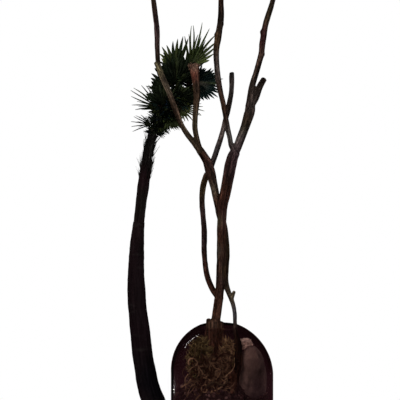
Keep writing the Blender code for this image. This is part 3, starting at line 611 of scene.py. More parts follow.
# route and its tint at foot and tip
MAIN_TREE = [
    (MAIN_STEM, (0.022, 0.0112, 0.0074), RED_BROWN), (RIGHT_BRANCH, BROWN, GREY_BROWN),
    (RIGHT_STUB, GREY_BROWN, DARK_BROWN), (CENTRE_BRANCH, BROWN, GREY_BROWN),
    (SIDE_STICK, DARK_BROWN, BROWN), (ROOT_STUMP, STUMP_BROWN, (0.034, 0.019, 0.013)),
    (STUMP_RIGHT, STUMP_BROWN, BROWN), (STUMP_FRONT, STUMP_BROWN, (0.034, 0.019, 0.013)),
    *[(root, STUMP_BROWN, STUMP_BROWN) for root in STUMP_ROOTS[:2]],
]
SECOND_TREE = [
    (SECOND_STEM, (0.019, 0.0090, 0.0056), PALE), (LEFT_STEM, BROWN, RED_BROWN),
    (FAR_LEFT_BRANCH, PALE, (0.016, 0.0088, 0.0066)), (LEFT_BRANCH, BROWN, PALE),
    (BACK_BRANCH, GREY_BROWN, GREY_BROWN), (LOW_STUB, PALE, PALE),
    (STUMP_ROOTS[2], STUMP_BROWN, STUMP_BROWN),
]
# knots, steps and bud scars on the bark: x, y, z, reach and height in millimetres
KNOTS = [
    (20.0, -17, 651, 2.6, 1.7), (5.8, -15, 637, 3.2, 1.9), (7.2, -16, 632, 2.6, 1.0),
    (73.2, -19, 640, 3.2, 1.8), (77.4, -17, 607, 3.4, 1.0), (55.0, -17, 531, 4.0, 1.2),
    (-4.5, -9, 449, 4.6, 1.5), (2.6, -6, 431, 4.0, 0.9), (8.6, -14, 300, 4.0, 0.9),
    (21.5, -12, 352, 4.4, 0.8), (13.0, -14, 392, 4.0, 1.0), (-13.5, 5, 360, 3.0, 0.8),
    (-7.0, 5, 300, 3.0, 0.8), (-79.8, -33, 655, 2.6, 0.9), (-58.0, -33, 545, 3.0, 0.9),
    (33.0, -13, 448, 4.5, 0.9), (90.5, -25, 690, 2.4, 0.9), (-24.5, -18, 520, 2.8, 0.9),
    (13.0, 4, 486, 2.6, 0.9), (26.5, 4, 310, 3.0, 1.0),
]

# the sawn end of the left branch, where bare wood shows, in metres
CUT_END, CUT_REACH = Vector((-0.0252, -0.026, 0.587)), 0.0075

# patches of colour on the bark and the trunk, a few of them painted highlight and painted shade: x, y, z and
# reach in millimetres, tint
PATCHES = [
    (48, -14, 494, 18, (0.020, 0.022, 0.010)), (40, -14, 470, 26, (0.046, 0.030, 0.034)),
    (34, -14, 440, 24, (0.036, 0.0195, 0.0205)), (43, -12, 452, 8, (0.012, 0.006, 0.010)),
    (17, -14, 405, 20, (0.034, 0.0125, 0.0080)), (16, -14, 366, 22, (0.036, 0.0145, 0.0130)),
    # the small pale patches at 9, -10, 364 and 7, -12, 322 sit on the main stem's front-left edge, towards
    # the key lamp: painted highlight
    (9, -10, 364, 9, (0.050, 0.046, 0.026)), (12, -14, 324, 22, (0.034, 0.0125, 0.0070)),
    (7, -12, 322, 9, (0.058, 0.050, 0.042)), (14, -14, 286, 20, (0.036, 0.020, 0.018)),
    (21, -12, 290, 8, (0.066, 0.038, 0.016)), (10, -14, 244, 22, (0.038, 0.0150, 0.0090)),
    (25, 8, 324, 26, (0.014, 0.0095, 0.0038)), (22, 8, 290, 18, (0.016, 0.0085, 0.0040)),
    (32, 2, 252, 14, (0.080, 0.062, 0.038)), (34, -6, 228, 16, (0.028, 0.028, 0.033)),
    (35, -12, 206, 10, (0.036, 0.022, 0.017)), (-12, 9, 412, 18, (0.046, 0.031, 0.014)),
    (-13, 9, 373, 20, (0.030, 0.018, 0.018)), (-10, 8, 334, 20, (0.015, 0.010, 0.012)),
    (-8, 6, 302, 18, (0.024, 0.009, 0.007)), (-2, 2, 270, 14, (0.040, 0.014, 0.009)),
    (-3, -4, 446, 14, (0.019, 0.009, 0.008)), (0, -4, 430, 12, (0.022, 0.012, 0.009)),
    (5, -2, 412, 10, (0.064, 0.050, 0.034)), (-24, -16, 506, 22, (0.046, 0.038, 0.022)),
    (-35, -16, 490, 16, (0.040, 0.028, 0.016)), (8, 6, 468, 16, (0.036, 0.033, 0.036)),
    (20, 6, 500, 14, (0.085, 0.066, 0.062)), (28, -11, 490, 16, (0.052, 0.049, 0.045)),
    (29, 6, 560, 16, (0.044, 0.038, 0.037)), (31, 1, 583, 9, (0.011, 0.011, 0.011)),
    (15, -17, 690, 26, (0.026, 0.012, 0.008)), (12, -16, 654, 20, (0.012, 0.010, 0.008)),
    (6, -15, 622, 20, (0.042, 0.023, 0.010)), (10, -15, 590, 22, (0.044, 0.036, 0.033)),
    (96, -24, 720, 26, (0.019, 0.013, 0.019)), (82, -21, 662, 22, (0.036, 0.027, 0.014)),
    (74, -19, 630, 20, (0.038, 0.012, 0.014)), (68, -16, 596, 20, (0.036, 0.022, 0.016)),
    (61, -15, 562, 20, (0.034, 0.026, 0.021)), (77, -17, 572, 10, (0.011, 0.0065, 0.0055)),
    (58, -16, 534, 16, (0.038, 0.030, 0.027)), (-88, -32, 730, 22, (0.013, 0.0085, 0.0060)),
    (-85, -32, 700, 26, (0.016, 0.012, 0.007)), (-80, -32, 640, 26, (0.028, 0.016, 0.018)),
    (-64, -32, 560, 24, (0.074, 0.058, 0.042)), (-52, -28, 526, 20, (0.048, 0.030, 0.020)),
    (-75, -33, 583, 9, (0.120, 0.102, 0.055)), (-25, -28, 574, 8, (0.080, 0.024, 0.016)),
    (-24, -30, 587, 6, (0.090, 0.056, 0.040)), (-103, 42, 424, 22, (0.018, 0.0060, 0.0085)),
    (-110, 42, 388, 26, (0.0135, 0.0115, 0.0095)), (-116, 42, 345, 26, (0.0165, 0.0085, 0.0095)),
    (-118, 40, 290, 40, (0.0125, 0.0070, 0.0085)), (-112, 38, 200, 50, (0.0095, 0.0052, 0.0066)),
    # the bluish-black patch at -84, 38, 120 is painted shade on the trunk's lower right side
    (-84, 38, 120, 40, (0.0040, 0.0036, 0.0062)), (-104, 44, 320, 14, (0.0040, 0.0035, 0.0036)),
]


USUAL_TONE = 0.016


def patched(points, tints):
    """The tints with the patches of colour, a few of them painted highlight and shade, laid over them."""
    points, tints = np.array(points), np.array(tints)
    for x, y, z, reach, colour in PATCHES:
        away = (points - np.array((x, y, z)) * 0.001) / (reach * 0.001)
        away[:, 2] *= 0.8
        share = 0.85 * np.exp(-(away**2).sum(axis=1) * 1.4)[:, None]
        wander = tints.mean(axis=1, keepdims=True) / USUAL_TONE
        target = np.array(colour) * (0.55 + 0.45 * np.clip(wander, 0.3, 2.0))
        tints = tints * (1 - share) + target * share
    return tints


def fused_mesh(routes):
    """One skin round several sticks that run into each other, smoothed where they meet."""
    shape = Shape()
    for route, _, _ in routes:
        shape.tube(smooth_route(route, 0.003), 20, BROWN, round_ends=0.35)
    raw = shape.made("raw_tree", None)
    remesh = raw.modifiers.new("skin", "REMESH")
    remesh.mode = "VOXEL"
    remesh.voxel_size = SKIN_VOXEL
    soften = raw.modifiers.new("soften", "SMOOTH")
    soften.factor = 0.5
    soften.iterations = 6
    mesh = bpy.data.meshes.new_from_object(raw.evaluated_get(bpy.context.evaluated_depsgraph_get()))
    bpy.data.objects.remove(raw, do_unlink=True)
    return mesh


def averaged(values, edges, rounds):
    """Each point's value pulled towards its neighbours' mean."""
    count = np.zeros(len(values))
    np.add.at(count, edges.ravel(), 1)
    for _ in range(rounds):
        total = np.zeros_like(values)
        np.add.at(total, edges[:, 0], values[edges[:, 1]])
        np.add.at(total, edges[:, 1], values[edges[:, 0]])
        values = 0.5 * values + 0.5 * total / np.maximum(count, 1)[:, None]
    return values


def kd_tree(places):
    """A tree that finds the nearest of the places."""
    tree = KDTree(len(places))
    for index, place in enumerate(places):
        tree.insert(place, index)
    tree.balance()
    return tree


def tree_samples(routes):
    """Places along every branch, each with its length from the foot, its axes and its tint."""
    samples = []
    for number, (route, foot_tint, tip_tint) in enumerate(routes):
        rows = smooth_route(route, 0.002)
        along = np.concatenate([[0], np.cumsum(np.linalg.norm(np.diff(rows[:, :3], axis=0), axis=1))])
        for row, length, axes in zip(rows, along, frames_along(rows[:, :3])):
            tint = mix3(foot_tint, tip_tint, (length / along[-1]) ** 1.5)
            samples.append((Vector(row[:3]), length + GRAIN_STEP * number, axes, tint))
    return samples


def make_tree(name, routes, look, nodes):
    """The fused tree, with bark ridges along each branch, knots, and a tint of its own for each branch."""
    mesh = fused_mesh(routes)
    samples = tree_samples(routes)
    branches = kd_tree([sample[0] for sample in samples])
    knots = kd_tree([Vector(knot[:3]) * 0.001 for knot in KNOTS])
    points, tints, places = [], [], []
    for vertex in mesh.vertices:
        _, index, _ = branches.find(vertex.co)
        centre, length, (tangent, across, beside), tint = samples[index]
        offset = vertex.co - centre
        flat = (offset.dot(across), offset.dot(beside), length + offset.dot(tangent))
        local = Vector(flat) * 1000
        ridges = grained(local, 0.42, 0.045)
        lumps = fractal(Vector((local.x * 0.10 + 9, local.y * 0.10, local.z * 0.034)), 2)
        lift = 0.00034 * ridges + 0.0007 * lumps
        _, near, distance = knots.find(vertex.co)
        reach, height = KNOTS[near][3] * 0.001, KNOTS[near][4] * 0.001
        knot = math.exp(-((distance / reach) ** 2))
        lift += height * knot
        points.append(vertex.co + vertex.normal * lift)
        wander = 1 + 0.35 * fractal(vertex.co * 28, 2) + 0.25 * ridges
        cut = math.exp(-(((vertex.co - CUT_END).length / CUT_REACH) ** 2))
        tints.append(scaled(mix3(mix3(tint, DARK_BROWN, 0.5 * knot), CUT_WOOD, 1.6 * cut), wander))
        places.append(flat)
    mesh.vertices.foreach_set("co", np.array(points, np.float32).ravel())
    edges = np.zeros(len(mesh.edges) * 2, np.int64)
    mesh.edges.foreach_get("vertices", edges)
    tints = averaged(patched(points, tints), edges.reshape(-1, 2), 8)
    give_attributes(mesh, tints, places)
    mesh.materials.clear()
    mesh.materials.append(look)
    mesh.shade_smooth()
    mesh.name = name
    settle(in_scene(name, mesh), "vessel", "bark", *nodes)


def settle(piece, body, slot, *nodes):
    """The piece rides on its body and stands for the CAD nodes; its slot is not used."""
    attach(piece, body)
    if nodes:
        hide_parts(*nodes)


def relief_tube(name, route, sides, step, tint, look, relief, low=None, round_ends=0.35):
    """A stick whose surface is pushed in and out by relief(local place in millimetres)."""
    shape = Shape()
    rows = smooth_route(route, step)
    shape.tube(rows, sides, tint, round_ends=round_ends)
    total = shape.grains[-1][2]
    points, tints = [], []
    for point, grain in zip(shape.points, shape.grains):
        local = Vector(grain) * 1000
        ring = min(int(len(rows) * grain[2] / total), len(rows) - 1)
        spoke = Vector(point) - Vector(rows[ring][:3])
        lift, shade = relief(local)
        moved = Vector(point) + spoke.normalized() * lift * 0.001
        if low is not None:
            moved.z = max(moved.z, low)
        points.append(tuple(moved))
        tints.append(scaled(tint, shade))
    shape.points, shape.tints = points, list(patched(points, tints))
    return shape.made(name, look)


def twig_relief(local):
    ridges = grained(local, 0.6, 0.08)
    lumps = grained(local, 0.2, 0.12, 2, 5)
    return 0.35 * ridges + 0.5 * lumps, 1 + 0.35 * ridges


def trunk_relief(local):
    """Long fibres, and old leaf scars that run unevenly round the trunk."""
    fibres = grained(local, 0.30, 0.02, 4)
    wave = local.z + 6.0 * grained(local, 0.05, 0.01, 2)
    step = (wave / 14.0 + 0.6 * math.sin(wave / 23.0)) % 1.0
    scar = math.exp(-((step - 0.5) / 0.13) ** 2)
    lumps = grained(local, 0.06, 0.03, 2, 3)
    return 0.55 * fibres + 0.18 * scar + 0.9 * lumps, 1 + 0.7 * fibres + 0.15 * scar


def unit(rng):
    """A random direction."""
    while True:
        found = Vector((rng.uniform(-1, 1), rng.uniform(-1, 1), rng.uniform(-1, 1)))
        if 0.1 < found.length < 1:
            return found.normalized()


def hair(rng, start, direction, length, radius, bend, count=6):
    """Rows of a thin tapering strand that starts in a direction and wanders off it."""
    rows = []
    here, heading = Vector(start), direction.normalized()
    drift = unit(rng) * bend
    for index in range(count):
        share = index / (count - 1)
        rows.append((*here, radius * (1 - 0.75 * share)))
        heading = (heading + drift * share + unit(rng) * bend * 0.35).normalized()
        here = here + heading * length / (count - 1)
    return rows


def make_frayed_end():
    """Torn bark and splinters round the sawn end of the left branch."""
    rng = random.Random(31)
    shape = Shape()
    x, y, z, radius = LEFT_BRANCH[-1]
    for _ in range(150):
        angle = rng.uniform(0, 2 * math.pi)
        spoke = Vector((math.cos(angle), math.sin(angle), 0))
        drop = rng.uniform(0, 7)
        start = (Vector((x, y, z + 1 - drop)) + spoke * (radius - 0.7 - 0.22 * drop)) * 0.001
        heading = Vector((0, 0, 1.0)) + spoke * rng.uniform(-0.3, 0.8) + unit(rng) * 0.45
        tint = mix3((0.050, 0.022, 0.015), (0.240, 0.165, 0.115), rng.random() ** 1.2)
        strand = hair(rng, start, heading, rng.uniform(0.0015, 0.0040), rng.uniform(0.0003, 0.0007), 0.25, 4)
        shape.tube(strand, 4, tint, 0.5)
    settle(shape.made("frayed_end", ROOT), "vessel", "pale_bark")


# ---------------------------------------------------------------- the palm
def make_wrap(name, node, route, seed, count):
    """Old leaf sheath fibre round the trunk: a rough sleeve with frayed strands lying up along it."""
    rng = random.Random(seed)
    dark = (0.0075, 0.0066, 0.0062)
    sleeve = relief_tube(name, route, 40, 0.0015, dark, FIBRE, trunk_relief, round_ends=0.15)
    shape = Shape()
    rows = smooth_route(route, 0.002)
    axes = frames_along(rows[:, :3])
    for _ in range(count):
        index = rng.randrange(0, len(rows))
        tangent, across, beside = axes[index]
        angle = rng.uniform(0, 2 * math.pi)
        spoke = across * math.cos(angle) + beside * math.sin(angle)
        start = Vector(rows[index][:3]) + spoke * (rows[index][3] + 0.0001)
        direction = tangent + spoke * rng.uniform(0.0, 0.32) + unit(rng) * 0.18
        grey = rng.choice((0.004, 0.007, 0.016, 0.042))
        tint = (grey, grey * 0.95, grey * 0.86)
        strand = hair(rng, start, direction, rng.uniform(0.008, 0.021), rng.uniform(0.00035, 0.0007), 0.14)
        shape.tube(strand, 4, tint, flat=0.6)
    frayed = shape.made(name + "_strands", FIBRE)
    settle(sleeve, "palm", "fibre", node)
    settle(frayed, "palm", "fibre")


def crown_point(fraction):
    rows = smooth_route(CROWN_STEM, 0.002)
    index = round(fraction * (len(rows) - 1))
    before, after = rows[max(index - 1, 0)], rows[min(index + 1, len(rows) - 1)]
    return Vector(rows[index][:3]), Vector(after[:3] - before[:3]).normalized(), rows[index][3]


def leaf_frame(fraction, direction, facing):
    """The matrix of a leaf's foot: x along its stalk, z out of its blade's upper face."""
    centre, up, radius = crown_point(fraction)
    along = Vector(direction).normalized()
    outward = square_to(up, along)
    foot = centre + (outward * (radius + GAP) if fraction < 1 else up * GAP)
    across = Vector(facing).cross(along).normalized()
    turn = Matrix((along, across, along.cross(across))).transposed()
    return Matrix.Translation(foot) @ turn.to_4x4()


def add_finger(shape, rng, matrix, hub, angle, pitch, length, web, radius, tint, broad, rib):
    """One folded finger of a fan: webbed to its neighbours near the hub, free and tapering to its tip."""
    count, first = 12, 0.0012
    points, tints, places = [], [], []
    bend = rng.uniform(-0.08, 0.08)
    sink = rng.uniform(-0.02, 0.10)
    fold = rng.uniform(0.30, 0.50)
    tone = rng.uniform(0.55, 1.55)
    for index in range(count):
        share = index / (count - 1)
        distance = first + (length - first) * share
        free = max(0.0, (distance - web * radius) / max(length - web * radius, 0.004))
        free = min(free, 1.0)
        width = math.tan(pitch / 2) * min(distance, web * radius) * 1.06
        width *= 1 + (broad - 1) * min(1.0, free * 4)
        width = max(width, 0.0005) * (1 - free**2.2) + 0.0002
        turned = angle + bend * free**2
        middle = Vector((hub + math.cos(turned) * distance, math.sin(turned) * distance, 0))
        beside = Vector((-math.sin(turned), math.cos(turned), 0))
        droop = BLADE_DROOP * distance**2 / radius + sink * radius * free**2
        for side in (-1, 0, 1):
            lift = (fold * width if side == 0 else -fold * width) - droop
            points.append(matrix @ (middle + beside * (side * width) + Vector((0, 0, lift))))
            # each finger is darker near the hub and paler towards its tip; the middle of its fold is 1.3
            # against 0.85 on its sides, partly a paler rib and partly painted light on the raised ridge and
            # painted shade on the sloping sides
            light = tone * (0.7 + 0.65 * share) * (1.3 if side == 0 else 0.85)
            colour = scaled(tint, light)
            if side == 0:
                colour = mix3(colour, (0.075, 0.066, 0.050), rib * max(0.0, 1 - 1.6 * share))
            tints.append(colour)
            places.append((distance, side * width + angle, 0.0))
    faces = []
    for index in range(count - 1):
        low, high = index * 3, index * 3 + 3
        faces.append((low, low + 1, high + 1, high))
        faces.append((low + 1, low + 2, high + 2, high + 1))
    shape.add(points, faces, tints, places)


def add_fan(shape, rng, matrix, hub, radius, spread, tint, extras=(0.0, 0.0, 0.0)):
    """A pleated fan; spread is fingers, half angle, webbed share, longest place, fall and finger width."""
    fingers, half_angle, web, peak, fall, broad = spread
    lime_and_highlight, rib, slim = extras
    pitch = 2 * math.radians(half_angle) / fingers
    for number in range(fingers):
        spot = number + 0.5 - fingers / 2
        place = spot / (fingers / 2)
        length = radius * (1 - fall * (place - peak) ** 2) * rng.uniform(0.90, 1.02)
        # lime goes in at random and towards one side of the leaf: partly the leaf's own yellowing, partly
        # painted highlight
        shade = mix3(tint, LIME_AND_HIGHLIGHT, max(0.0, rng.gauss(-0.1, 0.2)) + max(0.0, lime_and_highlight * place))
        width = broad * (1 - slim * max(0.0, place + 0.3))
        add_finger(shape, rng, matrix, hub, pitch * spot, pitch, length, web, radius, shade, width, rib)


def thickened(blades):
    """The blades as thin solid sheet."""
    solid = blades.modifiers.new("thickness", "SOLIDIFY")
    solid.thickness = BLADE_THICKNESS
    solid.offset = 0.0
    return blades


def make_leaf(name, fraction, direction, facing, stalk, radius, *spread_and_tint):
    """A fan leaf with a stalk, its pleated blade, and smaller young fans close against it, painted darker as
    shade.
    """
    rng = random.Random(name)
    hub, radius = stalk * 0.001, radius * 0.001
    matrix = leaf_frame(fraction, direction, facing)
    blade = Shape()
    *extras, layers = EXTRAS.get(name, (0.0, 0.1, 0.0, 2))
    *spread, tint = spread_and_tint
    add_fan(blade, rng, matrix, hub, radius, spread, tint, extras)
    fingers, half_angle, *form = spread
    behind_spread = (fingers - 1, half_angle * 1.05, *form)
    # the fans behind the blade are painted at 0.6 and 0.45 of its tint: painted shade from the blade in front
    for roll, drop, size, shade in ((0.42, 0.0012, 0.74, 0.6), (-0.5, 0.0020, 0.62, 0.45))[:layers]:
        behind = matrix @ Matrix.Translation((0, 0, -drop)) @ Matrix.Rotation(roll, 4, "X")
        behind = behind @ Matrix.Rotation(rng.uniform(-0.2, 0.2), 4, "Z")
        add_fan(blade, rng, behind, hub * 0.8, radius * size, behind_spread, scaled(tint, shade))
    settle(thickened(blade.made("fan_" + name, LEAF)), "leaf_" + name, "leaf_green", "leaf_" + name)
    stem = Shape()
    rows = []
    for step in range(7):
        rows.append((*(matrix @ Vector((0.0006 + (hub + 0.0034) * step / 6, 0, 0))), 0.00125 - 0.0001 * step))
    stem.tube(rows, 8, scaled(mix3(tint, LIME_AND_HIGHLIGHT, 0.25), 0.9), flat=0.7)
    settle(stem.made("stalk_" + name, LEAF), "leaf_" + name, "leaf_green")


def make_crown_core():
    """The crown's stem, clothed in cut leaf bases and young leaves."""
    rng = random.Random(41)
    core = relief_tube("crown_core", CROWN_STEM, 28, 0.0015, (0.013, 0.011, 0.009), PALM_BARK, trunk_relief)
    settle(core, "palm", "palm_bark", "crown_stem")
    shape = Shape()
    for _ in range(150):
        fraction = rng.uniform(0.03, 0.99)
        centre, up, radius = crown_point(fraction)
        spoke = square_to(up, unit(rng))
        heading = spoke + up * rng.uniform(0.2, 1.3)
        tint = mix3(DARK, (0.020, 0.017, 0.011), rng.random())
        strand = hair(rng, centre + spoke * radius * 0.7, heading, rng.uniform(0.008, 0.017), 0.0011, 0.10)
        shape.tube(strand, 5, scaled(tint, rng.uniform(0.5, 1.3)), flat=0.35)
    settle(shape.made("crown_bases", LEAF), "palm", "leaf_green")
    make_young_leaves(rng)


def make_young_leaves(rng):
    """Many small fans all round the crown's stem, narrow-fingered and dark near its foot."""
    young = Shape()
    leanings = (Vector((0.5, -0.35, -0.45)), Vector((-0.55, -0.6, -0.1)), Vector((0, 0, 0)))
    for number in range(270):
        fraction = rng.uniform(0.10, 0.5) if number % 2 else rng.uniform(0.3, 0.97)
        centre, up, radius = crown_point(fraction)
        spoke = square_to(up, unit(rng) + leanings[number % 3])
        along = (spoke + up * rng.uniform(-0.15, 0.75)).normalized()
        facing = square_to(along, up)
        turn = Matrix((along, facing.cross(along), facing)).transposed().to_4x4()
        matrix = Matrix.Translation(centre + spoke * radius * 0.6) @ turn
        matrix = matrix @ Matrix.Rotation(rng.uniform(-1.4, 1.4), 4, "X")
        cast = rng.choice((GREEN, TEAL, BLUE_CAST, RED_CAST, YELLOW_CAST))
        tint = scaled(mix3(DARK, cast, rng.random() ** 1.2), rng.uniform(0.4, 1.3))
        length = rng.uniform(0.016, 0.027) * (1.2, 0.74, 0.95)[number % 3] * min(1.0, 0.28 + 2.2 * fraction)
        low = fraction < 0.34
        if low:
            tint = mix3(DARK, rng.choice((TEAL, BLUE_CAST, DUSTY)), rng.random())
            tint = scaled(tint, rng.uniform(0.4, 1.4))
        spread = (5, 34, 0.16, 0.0, 0.30, 0.55) if low else (3, 20, 0.5, 0.0, 0.15, 1.15)
        size, pale_ribs = (1.1, 0.3) if low else (1.0, 0.0)
        add_fan(young, rng, matrix, 0.001, length * size, spread, tint, (0.0, pale_ribs, 0.0))
    settle(thickened(young.made("crown_young_leaves", LEAF)), "palm", "leaf_green")


# ---------------------------------------------------------------- the vessel and what is in it
def arc(centre_radius, centre_height, radius, start, end, count):
    """Places along a circle, as radius and height; start and end are angles in degrees."""
    points = []
    for index in range(count + 1):
        angle = math.radians(start + (end - start) * index / count)
        points.append((centre_radius + radius * math.cos(angle), centre_height + radius * math.sin(angle)))
    return points


def leaned(point):
    """The dome leans a little to the left above the vessel's straight side."""
    above = max(0.0, point.z - VESSEL_DOME_Z)
    return Vector((point.x - VESSEL_LEAN * above / VESSEL_RADIUS, point.y, point.z))


def make_glass():
    """A closed shell: foot, straight side, dome and rounded mouth, and the same again inside."""
    inner = VESSEL_RADIUS - VESSEL_WALL
    middle = VESSEL_RADIUS - VESSEL_WALL / 2
    rim_angle = math.degrees(math.acos(MOUTH_RADIUS / middle))
    rim_height = VESSEL_DOME_Z + middle * math.sin(math.radians(rim_angle))
    rim_radius = VESSEL_WALL / 2
    foot = VESSEL_LOW + VESSEL_HEEL
    outline = [
        (0, VESSEL_LOW), (0.03, VESSEL_LOW), (VESSEL_RADIUS - VESSEL_HEEL, VESSEL_LOW),
        *arc(VESSEL_RADIUS - VESSEL_HEEL, foot, VESSEL_HEEL, -80, 0, 7),
        *[(VESSEL_RADIUS, foot + (VESSEL_DOME_Z - foot) * step / 8) for step in range(1, 8)],
        *arc(0, VESSEL_DOME_Z, VESSEL_RADIUS, 0, rim_angle - 1, 44),
        *arc(MOUTH_RADIUS, rim_height, rim_radius, rim_angle, rim_angle + 180, 7)[1:-1],
        *reversed(arc(0, VESSEL_DOME_Z, inner, 0, rim_angle - 1, 44)),
        *[(inner, VESSEL_DOME_Z - (VESSEL_DOME_Z - foot - VESSEL_FLOOR) * step / 8) for step in range(1, 8)],
        *reversed(arc(inner - VESSEL_HEEL, foot + VESSEL_FLOOR, VESSEL_HEEL, -80, 0, 7)),
        (0.03, VESSEL_LOW + VESSEL_FLOOR), (0, VESSEL_LOW + VESSEL_FLOOR),
    ]
    shape = Shape()
    points, faces = turned_shape(outline, 176, VESSEL_X, VESSEL_Y, leaned)
    shape.add(points, faces, (0.1, 0.03, 0.06))
    settle(shape.made("vessel_glass", glass_look()), "vessel", "dark_glass", "glass_vessel")


# the soil's top as distance from the vessel's axis and height, and the dip in it, in millimetres
HEAP = [(0, 147), (20, 144), (35, 137), (50, 128), (64, 118), (70.4, 104)]
DIP_X, DIP_Y, DIP_REACH_X, DIP_REACH_Y, DIP_DEPTH = 58, -52, 22, 20, 27
# heights in metres: the soil's edge and middle, the lowest moss, and where the dip has died out
SOIL_EDGE, SOIL_TOP, MOSS_LOW, DIP_LOW = 0.104, 0.147, 0.106, 0.04


def heap_dip(x, y):
    """How much lower the soil lies in front of the smooth stone, in millimetres."""
    return DIP_DEPTH * math.exp(-(((x - DIP_X) / DIP_REACH_X) ** 2) - ((y - DIP_Y) / DIP_REACH_Y) ** 2)


def heap_height(x, y):
    """Height of the soil's top, in millimetres."""
    distance = math.hypot(x - VESSEL_X * 1000, y - VESSEL_Y * 1000)
    return float(np.interp(distance, [row[0] for row in HEAP], [row[1] for row in HEAP])) - heap_dip(x, y)


def in_vessel(x, y, z, clear):
    """True if a place in millimetres is inside the glass with some room."""
    across = math.hypot(x - VESSEL_X * 1000, y - VESSEL_Y * 1000)
    above = max(0.0, z - VESSEL_DOME_Z * 1000)
    return math.hypot(across, above) < (VESSEL_RADIUS - VESSEL_WALL) * 1000 - clear - 0.06 * above


def add_pebble(shape, rng, centre, size, tint):
    points, faces = BALLS[1]
    turn = Matrix.Rotation(rng.uniform(0, 6.28), 3, unit(rng))
    stretch = Vector((rng.uniform(0.7, 1.2), rng.uniform(0.7, 1.2), rng.uniform(0.5, 0.9)))
    seed = Vector((rng.uniform(0, 99), rng.uniform(0, 99), 0))
    placed = []
    for point in points:
        swell = 1 + 0.35 * fractal(point * 1.3 + seed, 2)
        placed.append(Vector(centre) + turn @ Vector((a * b for a, b in zip(point, stretch))) * size * swell)
    shape.add(placed, faces, tint)


GRAVEL_TINTS = ((0.060, 0.031, 0.031), (0.110, 0.062, 0.056), (0.030, 0.016, 0.017), (0.240, 0.150, 0.135))


def make_soil():
    """The soil, heaped up in the middle and lower in front of the smooth stone."""
    low = VESSEL_LOW + VESSEL_FLOOR + GAP
    side = VESSEL_RADIUS - VESSEL_WALL - 0.0006
    top = [(row[0] * 0.001, row[1] * 0.001) for row in reversed(HEAP)]
    finer = []
    for (r0, h0), (r1, h1) in zip(top, top[1:]):
        for step in range(5):
            finer.append((r0 + (r1 - r0) * step / 5, h0 + (h1 - h0) * step / 5))
    heel = low + VESSEL_HEEL
    wall = [(side, heel + (SOIL_EDGE - heel) * step / 9) for step in range(9)]
    outline = [(0, low), (side - VESSEL_HEEL, low), *wall, *finer, (0, SOIL_TOP)]
    points, faces = turned_shape(outline, 96, VESSEL_X, VESSEL_Y)
    moved, tints = [], []
    for point in points:
        rough = fractal(point * 160, 4)
        heap = point.z > SOIL_EDGE + 0.002
        share = min(max((point.z - DIP_LOW) / (SOIL_EDGE - DIP_LOW), 0.0), 1.0)
        sunk = 0.001 * heap_dip(point.x * 1000, point.y * 1000) * share
        moved.append(point + Vector((0, 0, (0.0024 * rough if heap else 0.0) - sunk)))
        tints.append(scaled((0.036, 0.0200, 0.0185), 1 + 0.8 * rough))
    shape = Shape()
    shape.add(moved, faces, tints)
    settle(shape.made("soil_heap", SOIL), "vessel", "soil", "soil_fill")


def make_gravel(rng):
    gravel = Shape()
    for _ in range(620):
        x = rng.uniform(-55, 88)
        y = rng.uniform(-76, 30)
        z = heap_height(x, y)
        size = rng.choice((1.2, 1.6, 2.2, 3.0))
        if not in_vessel(x, y, z + size, size + 1.5):
            continue
        place = (x * 0.001, y * 0.001, (z + 0.2 * size) * 0.001)
        add_pebble(gravel, rng, place, size * 0.001, rng.choice(GRAVEL_TINTS))
    settle(gravel.made("soil_gravel", SOIL), "vessel", "soil")


def lump_relief(centre, size, roughness):
    """A function that gives the point of the lump's CAD surface in a direction, in metres."""
    def surface(direction):
        x, y, z = direction
        ripple = math.sin(7 * x + 3 * z) * math.cos(6 * y + 1) + 0.5 * math.sin(11 * z + 5 * y)
        swell = 1 + roughness * ripple
        return Vector(centre) * 0.001 + Vector((x * size[0], y * size[1], z * size[2])) * 0.001 * swell
    return surface


def make_stone(name, node, slot, look, stone, roughness, tint, amount, scale, shaded_foot_tint, flare=0.0):
    """A stone over its CAD solid, with dents and lumps of its own; flare makes it wider towards its foot."""
    centre, size = stone
    surface = lump_relief(centre, size, roughness)
    shape = Shape()
    points, faces = BALLS[5]
    placed, tints = [], []
    for point in points:
        rough = fractal(point * scale + Vector((3, 1, 7)), 5)
        pits = max(0.0, fractal(point * scale * 2.7, 2))
        place = surface(point) - point * 0.001 * amount * (0.6 - rough + 1.2 * pits)
        place.x += (place.x - centre[0] * 0.001) * flare * (0.5 - 0.5 * point.z)
        placed.append(place)
        # painted shade: the stone goes from its tint on top to the darker foot tint below, its bumps are
        # painted lighter and its pits, which are pressed in, darker
        shade = mix3(shaded_foot_tint, tint, 0.5 + 0.5 * point.z + 0.6 * rough)
        tints.append(scaled(shade, 1 + 0.5 * rough - 0.9 * pits))
    shape.add(placed, faces, tints)
    settle(shape.made(name, look), "vessel", slot, node)


